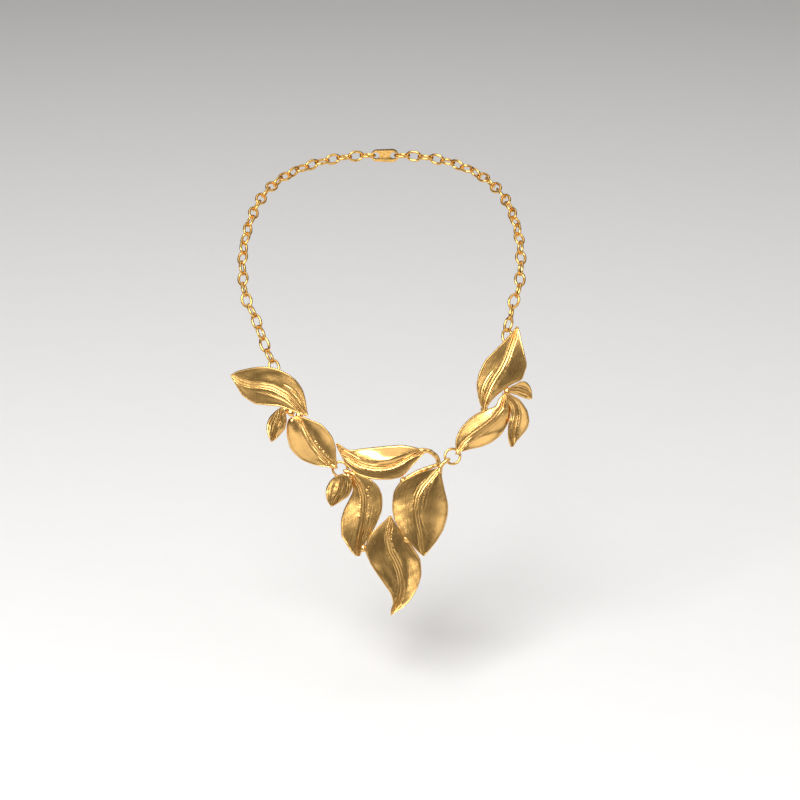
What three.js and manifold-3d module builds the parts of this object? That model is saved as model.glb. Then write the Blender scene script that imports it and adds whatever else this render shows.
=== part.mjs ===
// Bib necklace of gold-plated cast leaves, worn round a neck.
// Millimetres, +Z up, front towards -Y. The origin is in the middle of the neck,
// at the height where the chain lies on the shoulders.
//
// The leaves lie on the chest, which leans back. Their tables use chest coordinates:
// x to the wearer's left, u up along the chest, w out of the chest.
import * as THREE from "three";
import { mergeVertices } from "three/addons/utils/BufferGeometryUtils.js";
import Module from "manifold-3d";

const wasm = await Module();
wasm.setup();

// Chest
const CHEST_LEAN = THREE.MathUtils.degToRad(20); // from upright
const CHEST_FRONT = 44; // w of the chest on the middle line
const CHEST_RADIUS = 220; // curve from side to side
const COLLARBONE_U = -75; // above this the chest falls back to the shoulder
const COLLARBONE_FALL = 0.004; // per mm of squared height

// Cast leaves
const LEAF_THICKNESS = 1.3;
const RIB_HEIGHT = 0.5;
const RIB_HALF_WIDTH = 0.9;
const LEAF_COLUMNS = 6; // faces across a leaf, rim to rim
const LEAF_END_CROWD = 0.6; // how far sections crowd towards both ends of a leaf
const RIB_CROWD = 1.5; // power by which the columns crowd beside the midrib

// Staple bails on the backs
const STAPLE_RADIUS = 1.6;
const STAPLE_WIRE = 0.45; // radius
const STAPLE_SINK = 0.9; // of its middle under the metal's back
const STAPLE_SEAT = 0.12; // of the wire that hangs in it, above its middle
const STAPLE_SIDES = 9;
const STAPLE_WIRE_SIDES = 5;

// Jump rings and cable chain
const RING_WIRE = 0.62; // radius of the wire
const RING_SIDES = 16;
const RING_WIRE_SIDES = 6;
// Where each ring crosses the two pegs that hold it: x, u, height of the peg over the chest
const RIGHT_RING_CROSSINGS = [[30.0, -118.0, 5.65], [35.8, -113.7, 5.5]];
const LEFT_RING_CROSSINGS = [[-24.2, -120.5, 5.5], [-17.8, -123.4, 5.5]];
const CHAIN_WIRE = 0.675;
const LINK_HALF_WIDTH = 2.43; // to the middle of the wire
const LINK_PITCH = 6.1;
const LINK_BITE = 0.24; // touching links are fused about this deep
const CHAIN_ABOVE_CHEST = 3;
const LINK_SIDES = 10;
const LINK_WIRE_SIDES = 5;
const LINK_QUARTER_TURN = THREE.MathUtils.degToRad(90); // from each link to the next
const TILTED_LINKS = 6; // beside a casting, where the chain leans on its edge

// Clasp
const CLASP_LENGTH = 14;
const CLASP_HALF_WIDTH = 3.3;
const CLASP_NARROW_HALF_WIDTH = 3;
const CLASP_THICKNESS = 1.6;
const CLASP_HOLE_RADIUS = 1.75;
const CLASP_HOLE_X = 4.4; // from its middle
const CLASP_PLAY = 0.32; // between a link's wire and its hole
const NAPE = new THREE.Vector3(0, 54.5, 18);

const GOLD = { color: 0xd9a441, metalness: 1, roughness: 0.34 };
const CHAIN_GOLD = { color: 0xd8a544, metalness: 1, roughness: 0.26 };

// Leaves. A leaf's chord runs from base = [x, u] for length, turned by turn degrees from x.
// Each row is a section square to the chord: at = share of the chord, then the side
// distances of its right rim, midrib and left rim.
// rise = height of the midrib over the chest at the base, middle and tip.
// slope = climb of the right half per mm at base, middle and tip, then of the left half.
// bulge = swelling per mm of the right half at base, middle and tip, then of the left half.
const CREST_LEAF = {
  base: [-23.0, -109.6], turn: -5.4, length: 43.3, sections: 13,
  rise: [5.4, 6.6, 6.3],
  slope: [[-0.1, -0.07, -0.11], [0.21, -0.16, -0.05]],
  bulge: [[0.02, 0.04, 0.05], [-0.07, 0.17, 0.14]],
  rows: [ // at, right, rib, left
    [0, -0.5, -0.4, 0.2],
    [0.03, -3.0, -1.9, 0.1],
    [0.08, -6.3, -4.1, -1.1],
    [0.16, -10.8, -5.6, -2.4],
    [0.3, -14.4, -8.4, -1.1],
    [0.45, -15.4, -9.3, 0.2],
    [0.6, -15.0, -8.4, 1.5],
    [0.75, -13.1, -5.2, 2.3],
    [0.88, -6.5, -1.4, 1.8],
    [0.96, -2.2, -0.4, 1.0],
    [1, -0.2, 0.0, 0.6],
  ],
};
const SMALL_LEAF = {
  base: [-20.0, -123.6], turn: -106.7, length: 17.1, sections: 8,
  rise: [6.0, 6.0, 5.0],
  slope: [[-0.24, -0.21, 0.01], [0.24, 0.16, -0.32]],
  bulge: [[-0.03, 0, 0.01], [0.02, -0.02, 0.27]],
  rows: [ // at, right, rib, left
    [0, 1.1, 1.2, 1.8],
    [0.03, 0.1, 0.6, 3.4],
    [0.1, -1.7, 0.4, 5.1],
    [0.22, -3.5, 0.9, 6.3],
    [0.38, -4.8, 1.2, 6.8],
    [0.55, -5.2, 1.2, 6.3],
    [0.72, -4.5, 0.8, 4.3],
    [0.87, -3.1, 0.4, 2.2],
    [1, -0.7, -0.1, -0.0],
  ],
};
const ESS_LEAF = {
  base: [-14.8, -123.8], turn: -86.5, length: 39.8, sections: 12,
  rise: [5.0, 5.8, 5.0],
  slope: [[-0.24, -0.19, -0.07], [0.19, 0.12, -0.13]],
  bulge: [[-0.01, 0.05, 0.1], [0.02, -0.06, 0.04]],
  rows: [ // at, right, rib, left
    [0, -1.4, -0.5, 1.7],
    [0.04, -1.4, 0.3, 4.6],
    [0.1, -1.1, 1.9, 8.9],
    [0.2, -0.7, 3.7, 12.2],
    [0.32, -2.9, 4.5, 13.4],
    [0.45, -5.8, 4.0, 12.9],
    [0.58, -7.3, 3.1, 10.8],
    [0.72, -7.5, 1.6, 7.6],
    [0.85, -5.3, 0.3, 4.1],
    [0.94, -3.2, 0.0, 2.1],
    [1, -1.0, 0.0, 1.0],
  ],
};
const RIGHT_LEAF = {
  base: [27.5, -120.3], turn: -101.5, length: 44.0, sections: 12,
  rise: [5.6, 6.2, 5.2],
  slope: [[0.21, -0.16, 0.11], [-0.17, -0.2, -0.13]],
  bulge: [[0.05, 0, 0.05], [-0.03, 0.02, 0.05]],
  rows: [ // at, right, rib, left
    [0, 0.3, 0.4, 1.0],
    [0.03, -1.7, -0.7, 0.9],
    [0.1, -8.6, -2.5, 1.3],
    [0.18, -13.5, -4.4, 2.6],
    [0.28, -18.3, -6.7, 4.6],
    [0.4, -19.9, -7.8, 6.9],
    [0.52, -19.4, -7.6, 7.8],
    [0.65, -17.6, -5.8, 7.4],
    [0.78, -13.2, -3.2, 5.7],
    [0.9, -6.8, -1.4, 3.2],
    [0.97, -2.7, -0.4, 1.5],
    [1, -0.4, -0.1, 0.6],
  ],
};
const BOTTOM_LEAF = {
  base: [3.4, -144.1], turn: -90.0, length: 47.6, sections: 13,
  rise: [4.4, 5.4, 4.6],
  slope: [[0.46, 0.11, 0.13], [-0.11, 0.04, 0.14]],
  bulge: [[-0.12, 0, 0.03], [0, -0.1, -0.01]],
  rows: [ // at, right, rib, left
    [0, -0.8, -0.0, 0.1],
    [0.04, -2.6, -0.2, 1.1],
    [0.12, -6.8, -0.8, 3.4],
    [0.22, -10.8, -1.4, 7.1],
    [0.34, -12.3, -0.6, 11.3],
    [0.46, -10.4, 2.2, 14.2],
    [0.58, -7.0, 4.3, 14.6],
    [0.7, -3.0, 5.2, 13.2],
    [0.8, 0.0, 4.6, 10.9],
    [0.88, 0.8, 3.3, 8.1],
    [0.95, -0.1, 1.2, 4.1],
    [1, -0.3, 0.0, 0.4],
  ],
};
const LEFT_LARGE_LEAF = {
  base: [-74.0, -77.0], turn: -27.1, length: 42.2, sections: 11,
  rise: [5.0, 6.4, 5.4],
  slope: [[-0.2, -0.14, -0.19], [0.25, 0.06, -0.11]],
  bulge: [[0.09, 0.04, 0.04], [0, 0, 0.02]],
  rows: [ // at, right, rib, left
    [0, -0.3, -0.1, 0.5],
    [0.04, -1.4, -0.2, 3.1],
    [0.12, -3.5, -0.5, 6.1],
    [0.24, -6.2, 0.3, 9.8],
    [0.38, -6.8, 2.9, 12.6],
    [0.52, -5.0, 4.4, 13.5],
    [0.66, -2.7, 4.3, 12.9],
    [0.8, -1.8, 2.7, 10.3],
    [0.9, -1.4, 1.2, 6.0],
    [0.96, -0.9, 0.3, 2.4],
    [1, -0.6, 0.0, 0.3],
  ],
};
const LEFT_SMALL_LEAF = {
  base: [-49.3, -92.0], turn: -104.4, length: 17.5, sections: 8,
  rise: [5.0, 5.4, 4.8],
  slope: [[-0.19, -0.17, 0.22], [0.24, -0.29, -0.44]],
  bulge: [[0.01, 0.01, 0.19], [0.06, 0.05, -0.01]],
  rows: [ // at, right, rib, left
    [0, 0.5, 0.6, 1.2],
    [0.1, -1.5, 0.2, 2.6],
    [0.22, -3.0, 0.5, 3.6],
    [0.38, -4.4, 0.4, 4.4],
    [0.55, -4.8, -0.2, 4.4],
    [0.72, -4.2, -0.1, 3.2],
    [0.87, -2.7, 0.0, 1.8],
    [1, -0.8, -0.2, -0.1],
  ],
};
const LEFT_LOWER_LEAF = {
  base: [-42.7, -95.7], turn: -52.2, length: 32.9, sections: 10,
  rise: [5.2, 6.2, 5.4],
  slope: [[-0.1, -0.53, 0.09], [0.25, 0.2, 0.08]],
  bulge: [[0.34, 0.02, -0.01], [0.02, -0.01, -0.05]],
  rows: [ // at, right, rib, left
    [0, -4.0, -2.8, -2.6],
    [0.03, -5.6, -0.8, 0.1],
    [0.1, -7.8, -0.3, 2.4],
    [0.22, -10.4, -0.7, 4.9],
    [0.38, -12.1, -1.7, 7.5],
    [0.55, -11.3, -2.2, 7.9],
    [0.72, -8.4, -1.9, 6.3],
    [0.86, -4.5, -1.1, 3.3],
    [0.95, -1.7, -0.4, 1.4],
    [1, -0.1, 0.0, 0.6],
  ],
};
const RIGHT_LARGE_LEAF = {
  base: [64.2, -53.3], turn: -112.0, length: 44.3, sections: 11,
  rise: [5.6, 6.4, 5.2],
  slope: [[0.09, -0.2, -0.22], [0.36, 0.01, -0.35]],
  bulge: [[0.08, 0.01, 0.03], [0.04, -0.01, 0.1]],
  rows: [ // at, right, rib, left
    [0, -0.1, 0.1, 0.6],
    [0.04, -0.9, 0.2, 2.0],
    [0.12, -2.1, 0.4, 4.3],
    [0.24, -4.0, 0.7, 8.0],
    [0.38, -6.6, 0.9, 11.5],
    [0.5, -8.5, 0.5, 11.8],
    [0.62, -8.8, -0.6, 7.7],
    [0.74, -8.0, -1.2, 4.4],
    [0.86, -5.3, -1.1, 1.9],
    [0.95, -2.3, -0.4, 1.1],
    [1, 0.1, 0.2, 0.8],
  ],
};
const RIGHT_TOP_LEAF = {
  base: [59.4, -83.4], turn: -19.3, length: 12.9, sections: 8,
  rise: [5.4, 5.8, 5.2],
  slope: [[-0.21, -0.26, -0.09], [-0.03, -0.16, -0.03]],
  bulge: [[0.21, -0.07, 0.04], [0.01, 0.01, -0.01]],
  rows: [ // at, right, rib, left
    [0, -0.9, -0.3, -0.2],
    [0.03, -0.8, -0.2, 0.4],
    [0.1, -1.2, 0.1, 1.8],
    [0.22, -1.5, 0.8, 3.1],
    [0.38, -1.4, 1.6, 5.4],
    [0.55, -1.6, 1.7, 6.2],
    [0.72, -1.6, 1.6, 5.3],
    [0.87, -1.5, 0.7, 3.4],
    [1, -0.7, -0.1, -0.0],
  ],
};
const RIGHT_SIDE_LEAF = {
  base: [58.6, -85.5], turn: -83.4, length: 26.0, sections: 10,
  rise: [5.4, 5.8, 5.0],
  slope: [[-0.06, 0.02, -0.3], [0.03, -0.05, 0.02]],
  bulge: [[0.01, 0.02, 0.16], [0, -0.01, 0.23]],
  rows: [ // at, right, rib, left
    [0, 0.2, 0.3, 0.9],
    [0.05, -1.9, 0.3, 2.9],
    [0.14, -0.3, 2.1, 6.1],
    [0.26, 1.0, 4.0, 8.1],
    [0.4, 1.3, 4.3, 9.6],
    [0.54, -0.2, 3.5, 9.9],
    [0.68, -1.1, 2.3, 8.7],
    [0.82, -1.5, 1.2, 5.3],
    [0.93, -1.2, 0.4, 2.2],
    [1, -0.8, 0.1, 0.8],
  ],
};
const RIGHT_LOWER_LEAF = {
  base: [58.2, -85.4], turn: -129.3, length: 36.6, sections: 12,
  rise: [5.4, 6.4, 5.5],
  slope: [[-0.38, -0.3, -0.04], [-0.39, -0.3, 0.09]],
  bulge: [[0.19, 0.02, 0.02], [0.37, -0.14, 0.13]],
  rows: [ // at, right, rib, left
    [0, -0.1, 0.3, 0.6],
    [0.03, -0.4, 0.7, 3.4],
    [0.1, -0.6, 2.0, 6.7],
    [0.2, 0.3, 3.7, 9.4],
    [0.32, -1.8, 3.7, 10.8],
    [0.45, -4.4, 3.0, 11.3],
    [0.58, -5.6, 1.8, 10.5],
    [0.72, -5.9, 0.5, 8.2],
    [0.86, -4.7, -0.1, 4.3],
    [0.95, -2.6, -0.0, 1.9],
    [1, -0.6, -0.0, 0.1],
  ],
};

// Cast stems, bars and pegs: path rows are x, u and height over the chest.
const STEM = { radius: 1.1, path: [
  [15.5, -112.6, 6.2], [20.6, -113.0, 6.4], [23.7, -114.6, 6.4], [25.8, -117.2, 6.2], [25.9, -121.1, 5.8]] };
const BAR = { radius: 0.95, path: [[10.1, -126.6, 5.4], [16.8, -122.9, 5.6], [25.6, -119.8, 5.8]] };
const BIB_RIGHT_PEG = { radius: 1.05, path: [[26.3, -124.0, 5.8], [27.6, -120.0, 5.8], [31.8, -116.7, 5.5]] };
const BIB_LEFT_PEG = { radius: 0.95, path: [
  [-13.4, -124.9, 5.6], [-16.2, -123.4, 5.5], [-19.6, -122.5, 5.5]] };
const LEFT_LINK_PEG = { radius: 0.95, path: [[-27.0, -118.4, 5.6], [-22.3, -121.5, 5.5]] };
const RIGHT_LINK_PEG = { radius: 0.95, path: [[38.9, -110.8, 5.6], [34.5, -114.9, 5.5]] };

// Solder fillets between touching leaves: x, u, height over the chest.
const SOLDER_RADIUS = 2.2;
const SOLDER_HALF_DEPTH = 1.3;
const BIB_SOLDER = [
  [-13.6, -125.6, 4.9], [-8.6, -126.8, 5.2], [9.4, -127.3, 5.2], [-9.6, -159.8, 5.8],
  [11.0, -155.4, 5.1], [-16.8, -125.6, 5.4],
];
const LEFT_SOLDER = [[-47.6, -93.6, 4.8], [-44.6, -94.9, 4.8], [-40.6, -96.2, 4.9]];
const RIGHT_SOLDER = [[59.4, -84.6, 4.9], [58.4, -87.4, 4.9], [48.2, -93.4, 4.5], [60.6, -90.2, 4.7]];

// Chain routes: x, y, z of a few points from the casting's bail to the nape.
// Those over the chest are given as x and u.
const LEFT_CHAIN = {
  bail: [-51.4, -75.8],
  chest: [[-55.4, -67.1], [-57.6, -61.8], [-59.6, -56.0], [-61.8, -50.2], [-64.3, -44.9], [-66.9, -39.4]],
  shoulder: [[-69, -27, -12], [-66.5, -8, 0], [-60, 14, 9], [-48, 34, 14], [-30, 48, 17], [-14, 53.5, 18]],
  firstTwist: 0,
  twistedLinks: 0,
  tilt: -18,
};
const RIGHT_CHAIN = {
  bail: [59.0, -61.4],
  chest: [[59.9, -52.6], [61.3, -47.4], [62.3, -42.1], [64.8, -36.5]],
  shoulder: [[66.5, -26, -9], [64.5, -8, 1], [58.5, 14, 9], [47, 34, 14], [30, 48, 17], [14, 53.5, 18]],
  firstTwist: 30,
  twistedLinks: 3,
  tilt: 0,
};

const rad = THREE.MathUtils.degToRad;
const CHEST_UP = new THREE.Vector3(0, Math.sin(CHEST_LEAN), Math.cos(CHEST_LEAN));
const CHEST_OUT = new THREE.Vector3(0, -Math.cos(CHEST_LEAN), Math.sin(CHEST_LEAN));

function chestHeight(x, u) {
  const above = Math.max(0, u - COLLARBONE_U);
  return CHEST_FRONT - (x * x) / (2 * CHEST_RADIUS) - COLLARBONE_FALL * above * above;
}

function fromChest(x, u, w) {
  return new THREE.Vector3(x, 0, 0).addScaledVector(CHEST_UP, u).addScaledVector(CHEST_OUT, w);
}

// Smooth curve through a table's column without overshoot.
function columnAt(rows, column, at) {
  const last = rows.length - 1;
  const step = (i) => rows[i + 1][0] - rows[i][0];
  const rise = (i) => (rows[i + 1][column] - rows[i][column]) / step(i);
  const slope = (i) => {
    if (i === 0) return rise(0);
    if (i === last) return rise(last - 1);
    const before = rise(i - 1);
    const after = rise(i);
    return before * after <= 0 ? 0 : (2 * before * after) / (before + after);
  };
  let i = 0;
  while (i < last - 1 && at > rows[i + 1][0]) i += 1;
  const h = step(i);
  const t = (at - rows[i][0]) / h;
  const keep = (1 + 2 * t) * (1 - t) * (1 - t);
  const lead = t * (1 - t) * (1 - t) * h * slope(i);
  const tail = t * t * (t - 1) * h * slope(i + 1);
  return keep * rows[i][column] + lead + (1 - keep) * rows[i + 1][column] + tail;
}

// A value given at the base, the middle and the tip of a leaf.
function threeStations([base, middle, tip], at) {
  return columnAt([[0, base], [0.5, middle], [1, tip]], 1, at);
}

// Height of a leaf's middle surface over the chest at a share along and across.
function leafRise(leaf, at, across, halfWidth) {
  const side = across < 0 ? 0 : 1;
  const out = Math.abs(across);
  const level = threeStations(leaf.rise, at);
  const slope = threeStations(leaf.slope[side], at);
  const bulge = threeStations(leaf.bulge[side], at);
  return level + halfWidth * (slope * out + bulge * 4 * out * (1 - out));
}

function leafPoint(leaf, at, across, depth) {
  const right = columnAt(leaf.rows, 1, at);
  const rib = columnAt(leaf.rows, 2, at);
  const left = columnAt(leaf.rows, 3, at);
  const halfWidth = across < 0 ? rib - right : left - rib;
  const aside = rib + across * halfWidth;
  const along = at * leaf.length;
  const turn = rad(leaf.turn);
  const x = leaf.base[0] + along * Math.cos(turn) - aside * Math.sin(turn);
  const u = leaf.base[1] + along * Math.sin(turn) + aside * Math.cos(turn);
  const fromRib = Math.abs(across) * halfWidth;
  const ridge = depth > 0 ? RIB_HEIGHT * Math.max(0, 1 - fromRib / RIB_HALF_WIDTH) : 0;
  const rise = leafRise(leaf, at, across, halfWidth) + depth * LEAF_THICKNESS + ridge;
  return fromChest(x, u, chestHeight(x, u) + rise);
}

// Share across a leaf of each column: close together beside the rib.
function acrossShare(column) {
  const t = (2 * column) / LEAF_COLUMNS - 1;
  return Math.sign(t) * Math.abs(t) ** RIB_CROWD;
}

function leafGeometry(leaf) {
  const box = new THREE.BoxGeometry(1, 1, 1, LEAF_COLUMNS, leaf.sections, 1);
  const place = box.attributes.position;
  for (let i = 0; i < place.count; i += 1) {
    const column = Math.round((place.getX(i) + 0.5) * LEAF_COLUMNS);
    const t = place.getY(i) + 0.5;
    const crowded = (1 - Math.cos(Math.PI * t)) / 2;
    const at = THREE.MathUtils.lerp(t, crowded, LEAF_END_CROWD);
    const p = leafPoint(leaf, 1 - at, acrossShare(column), place.getZ(i));
    place.setXYZ(i, p.x, p.y, p.z);
  }
  return box;
}

function toSolid(geometry) {
  const bare = geometry.index ? geometry.toNonIndexed() : geometry.clone();
  bare.deleteAttribute("normal");
  bare.deleteAttribute("uv");
  const merged = mergeVertices(bare, 1e-4);
  return new wasm.Manifold(new wasm.Mesh({
    numProp: 3,
    vertProperties: new Float32Array(merged.attributes.position.array),
    triVerts: new Uint32Array(merged.index.array),
  }));
}

function toMesh(name, solid, look) {
  const made = solid.getMesh();
  const geometry = new THREE.BufferGeometry();
  geometry.setAttribute("position", new THREE.BufferAttribute(made.vertProperties, 3));
  geometry.setIndex(new THREE.BufferAttribute(made.triVerts, 1));
  geometry.computeVertexNormals();
  const mesh = new THREE.Mesh(geometry, new THREE.MeshStandardMaterial(look));
  mesh.name = name;
  return mesh;
}

// Round bar along a path over the chest.
function barGeometry(bar) {
  const points = bar.path.map(([x, u, rise]) => fromChest(x, u, chestHeight(x, u) + rise));
  const section = new THREE.Shape();
  section.absellipse(0, 0, bar.radius, bar.radius, 0, 2 * Math.PI);
  return new THREE.ExtrudeGeometry(section, {
    curveSegments: 4,
    steps: 2 * (points.length - 1),
    extrudePath: new THREE.CatmullRomCurve3(points),
  });
}

function solderGeometry([x, u, rise]) {
  const lens = new THREE.SphereGeometry(1, 6, 4);
  lens.scale(SOLDER_RADIUS, SOLDER_RADIUS, SOLDER_HALF_DEPTH);
  const turn = new THREE.Matrix4().makeBasis(new THREE.Vector3(1, 0, 0), CHEST_UP, CHEST_OUT);
  lens.applyMatrix4(turn);
  const p = fromChest(x, u, chestHeight(x, u) + rise);
  return lens.translate(p.x, p.y, p.z);
}

// A staple bail is a small ring whose upper half is sunk in the metal above it.
// middle = centre of the wire it holds, through = the way that wire runs.
function stapleGeometry(middle, through) {
  const staple = new THREE.TorusGeometry(STAPLE_RADIUS, STAPLE_WIRE, STAPLE_WIRE_SIDES, STAPLE_SIDES);
  const axis = through.clone().normalize();
  const side = new THREE.Vector3().crossVectors(CHEST_OUT, axis).normalize();
  const out = new THREE.Vector3().crossVectors(axis, side);
  staple.applyMatrix4(new THREE.Matrix4().makeBasis(side, out, axis));
  const p = middle.clone().addScaledVector(CHEST_OUT, -STAPLE_SEAT);
  return staple.translate(p.x, p.y, p.z);
}

// Height over the chest of a leaf's middle surface at x, u.
function riseOver(leaf, x, u) {
  const turn = rad(leaf.turn);
  const dx = x - leaf.base[0];
  const du = u - leaf.base[1];
  const at = (dx * Math.cos(turn) + du * Math.sin(turn)) / leaf.length;
  const aside = du * Math.cos(turn) - dx * Math.sin(turn);
  const rib = columnAt(leaf.rows, 2, at);
  const rim = columnAt(leaf.rows, aside < rib ? 1 : 3, at);
  const across = Math.abs((aside - rib) / (rim - rib)) * Math.sign(aside - rib);
  return leafRise(leaf, at, across, Math.abs(rim - rib));
}

// Middle of a wire that hangs in a staple under metal of the given rise and half depth.
function hangingPoint(x, u, rise, halfDepth) {
  const back = chestHeight(x, u) + rise - halfDepth;
  return fromChest(x, u, back - STAPLE_SINK + STAPLE_SEAT);
}

// Jump ring through two staples, which stand opposite each other on its circle.
function jumpRing(crossings, halfDepths) {
  const places = crossings.map(([x, u, rise], i) => hangingPoint(x, u, rise, halfDepths[i]));
  const chord = new THREE.Vector3().subVectors(places[1], places[0]);
  const along = chord.clone().normalize();
  const side = new THREE.Vector3().crossVectors(CHEST_OUT, along).normalize();
  const out = new THREE.Vector3().crossVectors(along, side);
  const centre = places[0].clone().addScaledVector(chord, 0.5);
  const ring = new THREE.TorusGeometry(chord.length() / 2, RING_WIRE, RING_WIRE_SIDES, RING_SIDES);
  ring.applyMatrix4(new THREE.Matrix4().makeBasis(along, side, out));
  ring.translate(centre.x, centre.y, centre.z);
  const staples = places.map((p) => stapleGeometry(p, side));
  return { ring, staples };
}

// Oval link: a torus bent to an oval, long axis x, lying in its x-y plane.
// Half a side is skipped, so that a flat side stands at each end.
function linkGeometry(halfLength) {
  const half = Math.PI / LINK_SIDES;
  const mitre = 1 / Math.cos(half);
  const link = new THREE.TorusGeometry(2, 1, LINK_WIRE_SIDES, LINK_SIDES);
  const place = link.attributes.position;
  const uv = link.attributes.uv;
  for (let i = 0; i < place.count; i += 1) {
    const round = 2 * Math.PI * uv.getX(i) + half;
    const wire = 2 * Math.PI * uv.getY(i) + Math.PI;
    const cx = halfLength * mitre * Math.cos(round);
    const cy = LINK_HALF_WIDTH * Math.sin(round);
    const nx = Math.cos(round) / halfLength;
    const ny = Math.sin(round) / LINK_HALF_WIDTH;
    const reach = (CHAIN_WIRE * mitre * Math.cos(wire)) / Math.hypot(nx, ny);
    place.setXYZ(i, cx + nx * reach, cy + ny * reach, CHAIN_WIRE * Math.sin(wire));
  }
  return link;
}

// Interlocked links at even steps along the route, each turned from the last.
function chainSolid(route, start, end) {
  const overChest = route.chest.map(([x, u]) => fromChest(x, u, chestHeight(x, u) + CHAIN_ABOVE_CHEST));
  const points = [start, ...overChest, ...route.shoulder.map((p) => new THREE.Vector3(...p)), end];
  const curve = new THREE.CatmullRomCurve3(points, false, "centripetal");
  curve.arcLengthDivisions = 2000;
  const length = curve.getLength();
  const odd = route.twistedLinks % 2;
  let count = Math.round(length / LINK_PITCH);
  if (count % 2 !== odd) count += 1;
  const nest = 2 * CHAIN_WIRE - LINK_BITE;
  const halfLength = (length + (count - 1) * nest) / (2 * count);
  const pitch = 2 * halfLength - nest;
  const oval = linkGeometry(halfLength);
  const frames = [];
  let normal = fromChest(route.bail[0] / CHEST_RADIUS, 0, 1).normalize();
  for (let i = 0; i < count; i += 1) {
    const share = (halfLength + i * pitch) / length;
    const centre = curve.getPointAt(share);
    const along = curve.getTangentAt(share);
    normal = normal.clone().addScaledVector(along, -normal.dot(along)).normalize();
    frames.push({ centre, along, normal });
  }
  const last = frames[count - 1];
  const outwards = new THREE.Vector3(0, 1, 0).addScaledVector(last.along, -last.along.y).normalize();
  const spare = Math.atan2(
    new THREE.Vector3().crossVectors(last.normal, outwards).dot(last.along),
    last.normal.dot(outwards),
  );
  const solids = frames.map(({ centre, along, normal: out }, i) => {
    const ease = THREE.MathUtils.smoothstep(i, TILTED_LINKS, count - 1);
    const twist = rad(route.firstTwist * Math.min(i, route.twistedLinks));
    const tilt = rad(route.tilt) * Math.sin((Math.PI * Math.min(i, TILTED_LINKS)) / TILTED_LINKS);
    const turn = LINK_QUARTER_TURN * i + twist + tilt + spare * ease;
    const face = out.clone().applyAxisAngle(along, turn);
    const side = new THREE.Vector3().crossVectors(face, along);
    const place = new THREE.Matrix4().makeBasis(along, side, face).setPosition(centre);
    return toSolid(oval.clone().applyMatrix4(place));
  });
  return wasm.Manifold.union(solids);
}

// Clasp: one plain tapered plate across the nape, with a hole at each end.
function claspSolid() {
  const outline = new THREE.Shape();
  const straight = CLASP_LENGTH / 2 - CLASP_HALF_WIDTH;
  const narrowEnd = CLASP_LENGTH / 2 - CLASP_NARROW_HALF_WIDTH;
  outline.absarc(straight, 0, CLASP_HALF_WIDTH, -Math.PI / 2, Math.PI / 2);
  outline.absarc(-narrowEnd, 0, CLASP_NARROW_HALF_WIDTH, Math.PI / 2, (3 * Math.PI) / 2);
  for (const x of [CLASP_HOLE_X, -CLASP_HOLE_X]) {
    const hole = new THREE.Path();
    hole.absarc(x, 0, CLASP_HOLE_RADIUS, 0, 2 * Math.PI);
    outline.holes.push(hole);
  }
  const plate = new THREE.ExtrudeGeometry(outline, {
    curveSegments: 8,
    depth: CLASP_THICKNESS,
    bevelEnabled: false,
  });
  plate.translate(0, 0, -CLASP_THICKNESS / 2);
  plate.rotateX(Math.PI / 2);
  return toSolid(plate.translate(NAPE.x, NAPE.y, NAPE.z));
}

function leafBail(leaf, [x, u]) {
  return hangingPoint(x, u, riseOver(leaf, x, u), LEAF_THICKNESS / 2);
}

const rightRing = jumpRing(RIGHT_RING_CROSSINGS, [BIB_RIGHT_PEG.radius, RIGHT_LINK_PEG.radius]);
const leftRing = jumpRing(LEFT_RING_CROSSINGS, [LEFT_LINK_PEG.radius, BIB_LEFT_PEG.radius]);
const leftStart = leafBail(LEFT_LARGE_LEAF, LEFT_CHAIN.bail);
const rightStart = leafBail(RIGHT_LARGE_LEAF, RIGHT_CHAIN.bail);
const claspReach = CLASP_HOLE_X + CLASP_HOLE_RADIUS - CHAIN_WIRE - CLASP_PLAY;
const leftEnd = NAPE.clone().add(new THREE.Vector3(-claspReach, 0, 0));
const rightEnd = NAPE.clone().add(new THREE.Vector3(claspReach, 0, 0));

// The end link's wire runs across the chain where it passes through the leaf's bail.
function chainStaple(route, start) {
  const [x, u] = route.chest[0];
  const next = fromChest(x, u, chestHeight(x, u) + CHAIN_ABOVE_CHEST);
  const along = new THREE.Vector3().subVectors(next, start).normalize();
  return stapleGeometry(start, new THREE.Vector3().crossVectors(CHEST_OUT, along));
}

function casting(name, leaves, bars, solder, staples) {
  const shapes = [
    ...leaves.map(leafGeometry),
    ...bars.map(barGeometry),
    ...solder.map(solderGeometry),
    ...staples,
  ];
  return toMesh(name, wasm.Manifold.union(shapes.map(toSolid)), GOLD);
}

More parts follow.
